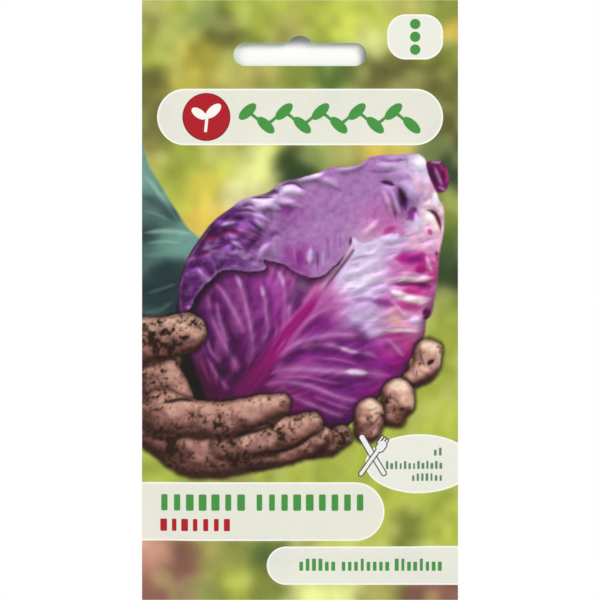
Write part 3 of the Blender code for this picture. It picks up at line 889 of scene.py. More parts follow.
def paint_upper_blade():
    """The mauve blade with the torn edge."""
    edge = curve(CABBAGE_TOP + TORN_EDGE, closed=True, steps=5)
    depth = inside_of(edge) + 0.4 * (cloud(0.9, 131, 2) - 0.5)
    blade = smooth(-0.18, 0.18, depth) * cabbage
    head_depth = inside_of(curve(CABBAGE, closed=True, steps=5))
    thrown = smooth(-1.8, 0.5, inside_of(edge + np.array([0.2, -0.9]))) * (1 - blade) * cabbage
    thrown = thrown * smooth(14, 8, X) * smooth(0.3, 1.2, head_depth)
    lay(INKS["night"], thrown * (0.6 + 0.4 * smooth(-19, -23, X)))

    shoulder = smooth(0, -12, X - 0.35 * (H - 92))
    tip = smooth(17, 24, X)
    sway = 1.6 * (cloud(5, 141, 2) - 0.5)
    flow_x, flow_h = turned(27, 2.6)
    crumples = ridges(3.0, 151, 3, flow_x + sway, flow_h + sway)
    long_grooves = grooves(3.4, 153, flow_x + sway, flow_h + sway)
    deep = np.maximum(long_grooves, 0.7 * grooves(1.9, 157, flow_x, flow_h + 1.5 * sway))
    height = shoulder * (0.8 * crumples - 0.8 * deep) + 0.5 * tip * ridges(2.4, 161, 3, *turned(-62, 2.4))
    upright = X + 0.18 * (H - 88)
    fluted = 0.2 * ridges(1.8, 171, 3, upright, H / 5.5) - 0.16 * grooves(1.6, 173, upright, H / 6)
    height += (1 - shoulder) * (1 - tip) * fluted
    height += 0.12 * ridges(1.0, 177, 2, *turned(60, 2))
    crevice = np.maximum(smooth(0.34, 0.06, crumples), deep) * shoulder * 0.55
    lay(patchwork(UPPER_TONES, 0.85, 0.8, 29), blade)
    lay(INKS["plum"], crevice * blade)
    twist = turned(-18, 2.2, X + 2.4 * sway, H + 2.4 * sway)
    frosted = cloud(2.4, 155, 3, *twist)
    lay(INKS["lilac"], smooth(0.55, 0.80, frosted) * shoulder * blade * 0.55)
    lay(INKS["plum"], smooth(0.45, 0.22, frosted) * shoulder * blade * 0.6)
    speckle = cloud(1.0, 159, 2)
    lay(INKS["lilac"], smooth(0.56, 0.8, speckle) * blade * 0.16)
    lay(INKS["grape"], smooth(0.44, 0.2, speckle) * blade * 0.16)
    height += 1.0 * shoulder * frosted
    paint_strokes(SHOULDER, 0.8, blade, 0.35, height, 0.7)
    paint_strokes(STREAKS, 0.9, blade, 0.4, height, 0.2)
    paint_strokes(TIP_FOLDS, 0.75, cabbage, 0.35, height, 0.4)
    light_relief(height, np.maximum(blade, cabbage * smooth(14, 16, X) * smooth(88, 90, H)), 0.75)

    lip = np.exp(-(((depth - 0.4) / 0.35) ** 2)) * smooth(13, 8, X) * smooth(100, 90, H)
    lay(INKS["mauve"], lip * blade * (0.2 + 0.4 * smooth(0.35, 0.65, cloud(1.8, 181, 2))))
    line = np.exp(-(((depth + 0.2) / 0.24) ** 2)) * smooth(12, 9, X) * smooth(90, 86, H) * smooth(-22, -20, X)
    lay(INKS["night"], line * cabbage * (0.45 + 0.8 * smooth(0.3, 0.7, cloud(2.4, 185, 2))).clip(0, 0.95))
    lay(INKS["night"], smooth(0.9, 0, head_depth) * cabbage * 0.35 * smooth(-14, -24, X))


CURL = [
    (31.6, 109.4), (33.6, 109.6), (35.8, 109.2), (37.2, 106), (36.6, 102.6), (34.4, 101.9), (33, 104.2),
    (31.9, 107),
]


def paint_curl():
    """The dark red scrap of leaf that curls out at the tip."""
    curl = smooth(-0.2, 0.2, inside_of(curve(CURL, closed=True)))
    lay(INKS["beet"] * (1 + 0.5 * (cloud(1.0, 191, 3, *turned(-60, 2.5)) - 0.5))[..., None], curl)
    paint_strokes([
        ([(32, 109.4), (33, 106.4), (34.6, 103)], 1.0, "plum", 0.85),
        ([(33.4, 108.8), (34.6, 106), (35.8, 103)], 0.8, "mauve", 0.8),
        ([(34.6, 109.4), (35.6, 107), (36, 104.4)], 1.0, "wine", 0.9),
        ([(36, 108.6), (36.9, 106), (36.6, 103.6)], 0.9, "raspberry", 0.85),
        ([(35, 109.2), (35.8, 107)], 0.8, "raspberry", 0.7),
        ([(32.6, 109.5), (35.6, 109.3)], 0.5, "lilac", 0.8),
        ([(34.4, 103.4), (36.6, 102.4)], 0.6, "lilac", 0.6),
    ], 0.6, curl)


paint_upper_blade()
paint_curl()
print("upper blade painted")


# %% [markdown]
# ## The hands
#
# Two bare hands, straight from the bed, hold the cabbage. A finger is a bent round bar: its height over the
# paper is known everywhere from its distance to a middle line, so it can be lit like the wrinkles. The
# fingers are laid from the back forwards, each with a dark seam where it meets the next, and then the soil
# goes on: a brown stain in patches, and grains and crusts over the stain.

# %% Paint the hands
SKIN = [(0.10, "skin shade"), (0.36, "skin dark"), (0.60, "skin"), (0.82, "skin light"), (1.0, "skin glow")]
hands = np.zeros(X.shape)
# Each finger, from the back forwards: its middle line, its radii from base to tip, and how brightly it is lit
LEFT_FINGERS = [
    ([(-44, 60), (-38, 58), (-34.5, 53.5), (-32, 47)], [8, 6.6, 6.2, 6.5], 0.86),
    ([(-42, 47), (-35, 42), (-27, 37), (-16, 36), (-6, 37)], [5.6, 5.6, 6.1, 4.6, 3.4], 0.74),
    ([(3, 37.8), (8, 40), (10.2, 41)], [2.4, 3.4, 2.7], 0.8),
    ([(-15, 36.2), (-5, 37), (1, 38.6), (5.6, 40.8)], [3.2, 3.5, 3.3, 2.5], 0.9),
    ([(-19, 38.2), (-11, 39.6), (-3, 41.8), (1.2, 43.6), (3, 44.2)], [3.2, 3.6, 4.2, 3.9, 2.9], 0.91),
    ([(-34, 46.6), (-26, 45.2), (-18.5, 45), (-12, 46.8), (-7.4, 48.2), (-4.9, 49)],
     [6.2, 4.9, 4.6, 4.5, 3.9, 2.7], 0.86),
    ([(-44, 64), (-36, 65), (-30.4, 66.2), (-28.4, 66.8)], [7.2, 6.2, 5.4, 4.9], 0.97),
]
RIGHT_FINGERS = [
    ([(28.4, 55.6), (31.2, 58.2), (32.1, 61.6)], [2.5, 3.5, 3.7], 1.18),
    ([(23.4, 46.6), (24.3, 49), (24.4, 51.3)], [3.4, 4.3, 4.1], 1.12),
    ([(16.8, 42.6), (17.2, 44.8), (17.4, 46.7)], [3.2, 3.8, 3.7], 1.1),
]
# Creases and seams: points, width, ink, strength
CREASES = [
    ([(-39, 60.4), (-35, 60.8), (-31, 60.6), (-27.6, 62)], 1.0, "gap", 0.8),
    ([(-39, 58.6), (-36, 59.2), (-33, 58.8)], 0.5, "skin dark", 0.6),
    ([(-35.4, 49), (-32, 49.8), (-29, 50.2), (-25.4, 49.4)], 0.9, "gap", 0.85),
    ([(-38, 52.6), (-35, 53.4), (-31.6, 52)], 0.8, "skin dark", 0.8),
    ([(-36.4, 56.4), (-34.6, 53.8), (-33.6, 51)], 0.6, "skin shade", 0.5),
    ([(-32.8, 61.8), (-30, 63.4), (-27.6, 63.2)], 0.6, "skin dark", 0.5),
    ([(-24.6, 48.6), (-25.6, 46), (-25.2, 43)], 0.8, "skin dark", 0.55),
    ([(-16.4, 48.6), (-17, 46), (-16.4, 43)], 0.7, "skin dark", 0.5),
    ([(-9.4, 50.2), (-9.8, 48), (-9, 45.6)], 0.5, "skin dark", 0.45),
    ([(-19, 39.2), (-15, 41.4), (-10, 42.6), (-6, 44.4), (-3, 47)], 1.0, "gap", 0.85),
    ([(-16, 36.4), (-9, 36.8), (-3, 37.8), (1.6, 40.2), (5, 42.6)], 0.8, "gap", 0.8),
    ([(-2.2, 45.6), (-2.6, 43.4), (-1, 41)], 0.6, "skin shade", 0.6),
    ([(1, 37.4), (2.4, 38.8), (2.8, 40.6)], 0.5, "skin shade", 0.6),
    ([(-34, 36.6), (-30, 35.4), (-24, 33.6), (-16, 33.2)], 0.9, "skin shade", 0.4),
    ([(-24, 40.4), (-20, 38.4), (-16, 37.8)], 0.8, "skin dark", 0.5),
    ([(6.6, 37), (7, 39.6), (7, 42.4)], 0.7, "skin shade", 0.7),
    ([(30.2, 63.6), (30, 61), (31.2, 58.6)], 0.8, "stain", 0.6),
    ([(21.4, 51), (23.4, 50.4), (25.2, 48.6)], 0.7, "stain", 0.6),
    ([(16.8, 45.4), (18.4, 44.2), (20, 46.4)], 0.6, "stain", 0.6),
]
# Patches where the light falls full on the skin
GLOW = [
    ([(-27.6, 69.4), (-25.6, 68.8), (-25.2, 66)], 2.6, "skin glow", 0.5),
    ([(-33.4, 47.6), (-30.4, 47.6)], 3.6, "skin light", 0.6),
    ([(-34, 56.6), (-31.4, 55)], 3.4, "skin light", 0.45),
    ([(-14, 49), (-9, 49.6), (-5.6, 50.2)], 2.4, "skin glow", 0.45),
    ([(-26, 37.4), (-20, 36.4)], 3.6, "skin", 0.5), ([(0, 44.8), (2.6, 45)], 2.2, "skin light", 0.45),
    ([(-5, 40.6), (-2, 40)], 2.2, "skin light", 0.35),
    ([(34, 63), (34.8, 60.6), (34.4, 57.4)], 1.2, "skin glow", 0.6),
    ([(26.8, 53), (28, 50.4), (27.8, 47)], 1.2, "skin glow", 0.5),
    ([(18, 48.6), (20, 47.4), (20.3, 45)], 1.2, "skin light", 0.5),
]
# The dark gap between the palm and the cabbage
HOLLOW = [(-30, 61), (-28, 61.6), (-26, 57), (-23.6, 50), (-27, 48.6), (-30, 52)]
# Where the soil lies thick: x, h, size, how much
SOILED = [
    (-34, 64.6, 3.4, 0.9), (-38.4, 66, 2.6, 0.7), (-30.4, 62.6, 2.2, 0.8), (-28, 70.6, 1.4, 0.7),
    (-25.8, 68, 1.0, 0.4),
    (-38.4, 57, 2.4, 0.4), (-37.4, 51, 2.6, 0.5), (-34, 53.4, 1.4, 0.6), (-25.4, 45.6, 2.6, 0.75),
    (-19, 42.4, 2.6, 0.55),
    (-18.6, 47, 2.4, 0.3), (-35.4, 41.8, 3.0, 0.6), (-31.6, 38.2, 1.8, 1.0), (-27.6, 36.3, 1.0, 0.9),
    (-31, 33.6, 2.2, 0.75), (-17, 35.2, 2.8, 0.9), (-24, 32.6, 2.6, 0.5), (-8.2, 43.6, 1.6, 0.9),
    (-4.2, 48.9, 1.1, 0.9),
    (-4.6, 42.2, 1.8, 0.6), (-10.6, 37, 2.2, 0.6), (4.8, 41.2, 2.2, 0.5), (10.4, 39.6, 2.2, 0.9),
    (2, 37.4, 1.8, 0.4),
    (21.4, 49.8, 1.1, 0.9), (25.2, 48.4, 1.0, 0.8), (24, 45, 2.0, 0.5), (17.2, 45, 0.9, 0.8),
    (20.2, 46, 0.9, 0.5),
    (18.6, 41.6, 1.8, 0.7), (30.6, 62, 1.0, 0.5), (29.6, 57.6, 1.4, 0.6), (32, 54.6, 1.4, 0.5),
]


def skin_tone(lit):
    """The colour of skin from how brightly it is lit."""
    steps = [share for share, _ in SKIN]
    return np.stack([np.interp(lit, steps, [INKS[name][k] for _, name in SKIN]) for k in range(3)], axis=-1)


def paint_finger(points, radii, tone, seed):
    """A bent round bar of skin along the points, lit from above on the right, with a dark seam round it."""
    path = curve(points)
    area = area_near(path, max(radii) + 2)
    x, h = X[area], H[area]
    distance, share, _ = along(path, area)
    radius = np.interp(share, np.linspace(0, 1, len(radii)), radii)
    rim = radius - distance + 0.9 * (cloud(3.0, seed, 3, x, h) - 0.5)
    mask = smooth(-0.15, 0.25, rim)
    height = np.sqrt(np.clip(1 - (distance / (radius * 1.02)) ** 2, 0, 1)) * radius * 0.8
    height += 1.5 * cloud(3.4, seed + 7, 2, x, h) + 0.6 * ridges(1.3, seed + 11, 3, x, h)
    slope_h, slope_x = np.gradient(blurred(height, 0.3), CELL_H, CELL_X)
    lit = (-0.20 * slope_x - 0.62 * slope_h + 0.70) / np.sqrt(1 + slope_x**2 + slope_h**2)
    lay(INKS["gap"], smooth(-1.2, 0.3, rim) * 0.8, area)
    uneven = 1 + 0.2 * (cloud(0.9, seed + 21, 3, x, h) - 0.5)
    lay(skin_tone(np.clip(lit, 0, 1) * tone) * uneven[..., None], mask, area)
    lay(INKS["skin shade"], (1 - smooth(0, 1.1, rim)) * mask * 0.5, area)
    hands[area] = np.maximum(hands[area], mask)


def paint_soil():
    """A stain, crusts over it and loose grains, thick in the places that are listed and thin elsewhere."""
    amount = 0.26 - 0.16 * smooth(12, 14, X) + 0.7 * (cloud(4.5, 331, 3) - 0.5)
    for x, h, size, share in SOILED:
        amount += 0.5 * share * np.exp(-((X - x) ** 2 + (H - h) ** 2) / (1.6 * size**2))
    clumps, fine = cloud(1.9, 341, 2), cloud(0.95, 351, 2)
    lay(INKS["stain"], smooth(0.32, 0.72, 0.5 * amount + 0.30 * clumps + 0.20 * fine) * hands * 0.65)
    crust = smooth(0.53, 0.66, 0.34 * amount + 0.20 * clumps + 0.46 * fine)
    lay(INKS["soil"], crust * hands * 0.9)
    grains = smooth(0.66, 0.86, mottle(0.6, 361)) * smooth(0.1, 0.45, amount)
    lay(INKS["soil"], grains * hands * 0.7)


def paint_hands():
    """A palm and fingers underneath on the left, and three fingertips of the other hand round from behind."""
    hollow = inside_of(curve(HOLLOW, closed=True))
    lay(INKS["gap"], smooth(-0.9, 0.9, hollow) * 0.95)
    for number, (points, radii, tone) in enumerate(RIGHT_FINGERS + LEFT_FINGERS):
        paint_finger(points, radii, tone, 301 + 60 * number)
    paint_strokes(GLOW, 0.95, hands, 0.4)
    paint_strokes(CREASES, 0.8, hands, 0.3)
    paint_soil()
    brush([(31.6, 58.8), (32.8, 59.6), (33.8, 60)], 1.1, "night", 0.9, 0.6, within=hands, tips=0.3)
    brush([(-29.8, 65.4), (-28.6, 65.6), (-27.4, 65.8)], 0.9, "gap", 0.9, 0.6, within=hands, tips=0.3)


paint_hands()
print("hands painted")


# %% [markdown]
# ## Ink on the mesh
#
# The canvas is numbers on a grid, and the mesh wants one colour at each of its corners. A corner takes the
# average of the four canvas places round it, the nearest counting most. Ink colours are display colours, and
# a colour attribute is linear, so each goes through the display curve first. The film over the print adds a
# faint even shine, and the ink is made darker by as much.

# %% Ink at any place
FILM_HAZE = 0.012


def ink_at(x, h):
    """Linear ink colours at places in millimetres."""
    column = np.clip((np.asarray(x) - across[0]) / CELL_X, 0, COLUMNS - 1.001)
    row = np.clip(np.asarray(h) / CELL_H, 0, ROWS - 1.001)
    c, r = column.astype(int), row.astype(int)
    fc, fr = (column - c)[:, None], (row - r)[:, None]
    low = ink[r, c] * (1 - fc) + ink[r, c + 1] * fc
    high = ink[r + 1, c] * (1 - fc) + ink[r + 1, c + 1] * fc
    display = np.clip(low * (1 - fr) + high * fr, 0, 1)
    light = np.where(display <= 0.04045, display / 12.92, ((display + 0.055) / 1.055) ** 2.4)
    return np.maximum(light - FILM_HAZE, 0.001)


print("linear ink in the middle of the packet:", np.round(ink_at([0], [PACKET_HEIGHT / 2])[0], 3))


# %% [markdown]
# ## The shape of a panel
#
# Each panel is a sheet 0.15 mm thick. It lies flat where it is sealed, and swells between the seals: most
# round the seeds at the bottom, and only a little above them, where the laminate is slack. It could be a
# flat plane with the swell in the shading, but a packet is seen from the side too, so the swell is in the
# mesh. Over the heap each seed pushes out a small round bump.

# %% Swell, bumps and slack
LAMINATE = 0.15
SEAL_GAP = 0.3
SIDE_SEAL, BOTTOM_SEAL, HEADER = 6.0, 8.0, 24.0
SIDE_SLOPE, BOTTOM_SLOPE, TOP_SLOPE, HEAP_SLOPE = 7.1, 5.0, 30.0, 30.0
FULL_SWELL = cad_high.y / MM - LAMINATE - SEAL_GAP / 2
SLACK_SWELL = 0.5
BUMP, BUMP_RADIUS = 0.13, 0.62

seed_places = np.array([(sum(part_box(name), Vector()) / 2 / MM)[:] for name in SEEDS])
seed_places[:, 2] -= BOTTOM_EDGE
HEAP_TOP = seed_places[:, 2].max() + 1.0


def swell(x, h):
    """How far a panel stands out from its sealed plane, in millimetres."""
    side = smooth(0, SIDE_SLOPE, PACKET_WIDTH / 2 - SIDE_SEAL - np.abs(x))
    bottom = smooth(0, BOTTOM_SLOPE, h - BOTTOM_SEAL)
    header = smooth(0, TOP_SLOPE, PACKET_HEIGHT - HEADER - h)
    slack = smooth(0, HEAP_SLOPE, h - HEAP_TOP)
    pocket = side * bottom * header
    filled = FULL_SWELL - BUMP + (SLACK_SWELL - FULL_SWELL + BUMP) * slack
    bumps = np.zeros(np.shape(x))
    for place in seed_places:
        bumps = np.maximum(bumps, np.exp(-((x - place[0]) ** 2 + (h - place[2]) ** 2) / (2 * BUMP_RADIUS**2)))
    buckle = 0.10 * np.sin(0.16 * x + 0.11 * h) + 0.07 * np.sin(0.05 * h * 2 - 0.21 * x + 1.0)
    return pocket * (filled + BUMP * bumps * (1 - slack) + buckle * slack)


for where, height in (("over the heap", seed_places[0, 2]), ("above it", PACKET_HEIGHT / 2)):
    print(f"swell {where}: {swell(0.0, height):.2f} mm")


# %% [markdown]
# The slot is a bar with round ends and a hump, which finds the middle of a hook. A Boolean could punch it,
# but on a sheet this fine that is slow and leaves slivers. Instead the header is triangulated round the
# slot's outline: `delaunay_2d_cdt` joins any set of points into triangles and keeps the lines it is given,
# and the triangles that fall in the slot are left out. Below the header the sheet is a plain grid of
# squares. The inner face of the sheet carries no ink, so it has far fewer corners, and a rim joins the two
# faces along every edge.

# %% The slot and a panel's mesh
SLOT_LENGTH, SLOT_HEIGHT, SLOT_TOP = 33.3, 5.8, PACKET_HEIGHT - 10.7
HUMP_RADIUS, HUMP_RISE = 3.5, 1.9
HEADER_ROW = 414
FINE_ROWS = (96, 372)


def slot_outline(steps=12):
    """The slot's outline once round, from its right end over the hump to its left end."""
    end = SLOT_HEIGHT / 2
    opening = math.acos((HUMP_RADIUS - HUMP_RISE) / HUMP_RADIUS)

    def arc(x, h, radius, first, last):
        a = np.linspace(first, last, steps + 1)
        return np.column_stack([x + radius * np.cos(a), h + radius * np.sin(a)])

    quarter = math.pi / 2
    corners = np.vstack([
        arc(SLOT_LENGTH / 2 - end, SLOT_TOP - end, end, -quarter, quarter),
        arc(0, SLOT_TOP + HUMP_RISE - HUMP_RADIUS, HUMP_RADIUS, quarter - opening, quarter + opening),
        arc(end - SLOT_LENGTH / 2, SLOT_TOP - end, end, quarter, 3 * quarter),
    ])
    # Long straight runs get corners too, so that the triangles beside them stay well shaped.
    line = []
    for a, b in zip(corners, np.roll(corners, -1, axis=0)):
        cuts = max(1, round(np.hypot(*(b - a)) / 0.9))
        line += [a + (b - a) * k / cuts for k in range(cuts)]
    return np.array(line)


def within_slot(x, h):
    """True inside the slot's outline."""
    outline = slot_outline()
    found = np.zeros(np.shape(x), bool)
    for (ax, ah), (bx, bh) in zip(outline, np.roll(outline, -1, axis=0)):
        if ah != bh:
            found ^= ((ah > h) != (bh > h)) & (x < ax + (h - ah) * (bx - ax) / (bh - ah))
    return found


def triangles_round_slot(border, inner_points):
    """(points, triangles) of the area inside a border loop, less the slot."""
    slot = slot_outline()
    near = within_slot(inner_points[:, 0], inner_points[:, 1])
    offsets = inner_points[:, None] - slot[None]
    apart = np.hypot(offsets[..., 0], offsets[..., 1]).min(1)
    inner_points = inner_points[~near & (apart > 0.35)]
    points = np.vstack([border, slot, inner_points])
    n, m = len(border), len(slot)
    lines = [(k, (k + 1) % n) for k in range(n)] + [(n + k, n + (k + 1) % m) for k in range(m)]
    made, _, faces, *_ = delaunay_2d_cdt([Vector(p) for p in points], lines, [], 0, 1e-7)
    made = np.array([p[:] for p in made])
    faces = np.array(faces)
    middle = made[faces].mean(1)
    return made, faces[~within_slot(middle[:, 0], middle[:, 1])]


def panel_mesh(name, side, columns, rows):
    """One panel. side -1 is the front. columns and rows are the canvas lines that it has corners on."""
    x, h = across[columns], up[rows]
    top_row = up[HEADER_ROW]
    places, faces, numbers = [], [], {}

    def number(px, ph, layer):
        key = (round(px * 1e4), round(ph * 1e4), layer)
        if key not in numbers:
            numbers[key] = len(places)
            places.append((px, ph, layer))
        return numbers[key]

    grid = [[number(px, ph, 1) for px in x] for ph in h]
    for low, high in zip(grid, grid[1:]):
        faces += [(a, b, d, c) for a, b, c, d in zip(low, low[1:], high, high[1:])]

    header_x, header_h = across[::3], up[HEADER_ROW::3]
    border = [(px, top_row) for px in x] + [(x[-1], ph) for ph in header_h[1:]]
    border += [(px, header_h[-1]) for px in header_x[-2::-1]] + [(x[0], ph) for ph in header_h[-2:0:-1]]
    inner = np.array([(px, ph) for ph in header_h[1:-1] for px in header_x[1:-1]])
    made, triangles = triangles_round_slot(np.array(border), inner)
    corners = [number(px, ph, 1) for px, ph in made]
    faces += [tuple(corners[k] for k in t) for t in triangles]

    edge = [(px, h[0]) for px in x] + [(x[-1], ph) for ph in h[1:]] + [(x[-1], ph) for ph in header_h[1:]]
    edge += [(px, header_h[-1]) for px in header_x[-2::-1]] + [(x[0], ph) for ph in header_h[-2:0:-1]]
    edge += [(x[0], ph) for ph in h[:0:-1]]
    loose_x, loose_h = np.arange(x[0] + 1.3, x[-1] - 0.6, 1.5), np.arange(1.2, PACKET_HEIGHT - 0.6, 1.5)
    loose = np.array([(px, ph) for ph in loose_h for px in loose_x])
    made, triangles = triangles_round_slot(np.array(edge), loose)
    corners = [number(px, ph, 0) for px, ph in made]
    faces += [tuple(corners[k] for k in t[::-1]) for t in triangles]

    for loop in (edge, [tuple(p) for p in slot_outline()]):
        outer = [number(px, ph, 1) for px, ph in loop]
        below = [number(px, ph, 0) for px, ph in loop]
        count = len(loop)
        faces += [(outer[k], outer[(k + 1) % count], below[(k + 1) % count], below[k]) for k in range(count)]

    px, ph, layer = np.array(places).T
    out = SEAL_GAP / 2 + swell(px, ph) + LAMINATE * layer
    mesh = bpy.data.meshes.new(name)
    mesh.from_pydata(np.column_stack([px, side * out, ph + BOTTOM_EDGE]) * MM, [], faces)
    shell = bmesh.new()
    shell.from_mesh(mesh)
    bmesh.ops.recalc_face_normals(shell, faces=shell.faces)
    open_edges = sum(not edge.is_manifold for edge in shell.edges)
    shell.to_mesh(mesh)
    shell.free()
    mesh.shade_smooth()
    mesh.set_sharp_from_angle(angle=math.radians(50))
    made = bpy.data.objects.new(name, mesh)
    bpy.context.scene.collection.objects.link(made)
    mesh.calc_loop_triangles()
    print(f"{name}: {len(mesh.loop_triangles)} triangles, {open_edges} open edges")
    return made, px, ph


fine = np.arange(FINE_ROWS[0], FINE_ROWS[1])
front_rows = np.concatenate([np.arange(0, FINE_ROWS[0], 3), fine, np.arange(FINE_ROWS[1], HEADER_ROW + 1, 3)])
front, front_x, front_h = panel_mesh("printed_front", -1, np.arange(COLUMNS), front_rows)
back, _, _ = panel_mesh("printed_back", 1, np.arange(0, COLUMNS, 3), np.arange(0, HEADER_ROW + 1, 3))

print_ink = front.data.color_attributes.new("print_ink", "FLOAT_COLOR", "POINT")
colours = np.ones((len(front_x), 4))
colours[:, :3] = ink_at(front_x, front_h)
print_ink.data.foreach_set("color", colours.ravel())

# %% [markdown]
# ## Printed marks as shader groups
#
# Bands, badges and words have crisp edges, which ink on corners 0.3 mm apart would blur. So each kind of
# mark is a shader node group that works out the distance from a place to the mark's edge, and turns it into
# a mask. An image texture could hold them too, but a formula stays sharp at any size. Words are printed as
# rows of plain blocks: they say nothing, and have the rhythm of text.

# %% Small helpers for node trees
def linked(tree, value, socket):
    """Sets a socket to a number, or links it to another socket."""
    if isinstance(value, bpy.types.NodeSocket):
        tree.links.new(value, socket)
    else:
        socket.default_value = value


def calculator(tree):
    """A function that adds one Math node: do("ADD", a, b)."""
    def do(operation, *values):
        node = tree.nodes.new("ShaderNodeMath")
        node.operation = operation
        for value, socket in zip(values, node.inputs):
            linked(tree, value, socket)
        return node.outputs[0]
    return do


def stepped(tree, value, low, high):
    """0 at low, 1 at high, and an S-curve between, as one Map Range node. low may be above high."""
    node = tree.nodes.new("ShaderNodeMapRange")
    node.interpolation_type = "SMOOTHSTEP"
    linked(tree, value, node.inputs["Value"])
    linked(tree, low, node.inputs["From Min"])
    linked(tree, high, node.inputs["From Max"])
    return node.outputs["Result"]


def new_group(name, inputs, outputs):
    """(tree, its inputs by name, its output node). inputs are (name, default), outputs (name, kind)."""
    tree = bpy.data.node_groups.new(name, "ShaderNodeTree")
    tree.interface.new_socket("Place", in_out="INPUT", socket_type="NodeSocketVector")
    for label, default in inputs:
        socket = tree.interface.new_socket(label, in_out="INPUT", socket_type="NodeSocketFloat")
        socket.default_value = default
    for label, kind in outputs:
        tree.interface.new_socket(label, in_out="OUTPUT", socket_type=kind)
    entry = tree.nodes.new("NodeGroupInput")
    return tree, entry.outputs, tree.nodes.new("NodeGroupOutput")


def placed(tree, do, given):
    """x and h from a mark's centre, turned with the mark."""
    split = tree.nodes.new("ShaderNodeSeparateXYZ")
    tree.links.new(given["Place"], split.inputs[0])
    x = do("SUBTRACT", split.outputs["X"], given["Centre X"])
    h = do("SUBTRACT", split.outputs["Z"], given["Centre H"])
    cosine, sine = do("COSINE", given["Turn"]), do("SINE", given["Turn"])
    return (
        do("ADD", do("MULTIPLY", x, cosine), do("MULTIPLY", h, sine)),
        do("SUBTRACT", do("MULTIPLY", h, cosine), do("MULTIPLY", x, sine)),
    )


EDGE_SOFTNESS = 0.07
MASK = [("Mask", "NodeSocketFloat")]
MARK_INPUTS = [
    ("Centre X", 0), ("Centre H", 0), ("Half Length", 5), ("Half Height", 5), ("Turn", 0), ("Rim", 1000),
]


def box_distance(do, u, v, half_length, half_height, corner):
    """Distance out from a box with round corners."""
    qu = do("ADD", do("SUBTRACT", do("ABSOLUTE", u), half_length), corner)
    qv = do("ADD", do("SUBTRACT", do("ABSOLUTE", v), half_height), corner)
    ou, ov = do("MAXIMUM", qu, 0), do("MAXIMUM", qv, 0)
    outside = do("SQRT", do("ADD", do("MULTIPLY", ou, ou), do("MULTIPLY", ov, ov)))
    return do("SUBTRACT", do("ADD", outside, do("MINIMUM", do("MAXIMUM", qu, qv), 0)), corner)


def filled(tree, do, distance, rim):
    """A mask of what lies inside a shape, no deeper than the rim is wide."""
    hollow = do("MAXIMUM", distance, do("SUBTRACT", do("MULTIPLY", distance, -1), rim))
    return stepped(tree, hollow, EDGE_SOFTNESS, -EDGE_SOFTNESS)


def build_rounded_bar():
    """A bar with round corners."""
    tree, given, out = new_group("rounded bar", MARK_INPUTS + [("Corner", 1)], MASK)
    do = calculator(tree)
    u, v = placed(tree, do, given)
    distance = box_distance(do, u, v, given["Half Length"], given["Half Height"], given["Corner"])
    tree.links.new(filled(tree, do, distance, given["Rim"]), out.inputs["Mask"])
    return tree


def build_oval():
    """An ellipse."""
    tree, given, out = new_group("oval", MARK_INPUTS, MASK)
    do = calculator(tree)
    u, v = placed(tree, do, given)
    u1, v1 = do("DIVIDE", u, given["Half Length"]), do("DIVIDE", v, given["Half Height"])
    u2, v2 = do("DIVIDE", u1, given["Half Length"]), do("DIVIDE", v1, given["Half Height"])
    k1 = do("SQRT", do("ADD", do("MULTIPLY", u1, u1), do("MULTIPLY", v1, v1)))
    k2 = do("MAXIMUM", do("SQRT", do("ADD", do("MULTIPLY", u2, u2), do("MULTIPLY", v2, v2))), 0.0001)
    distance = do("DIVIDE", do("MULTIPLY", k1, do("SUBTRACT", k1, 1)), k2)
    tree.links.new(filled(tree, do, distance, given["Rim"]), out.inputs["Mask"])
    return tree


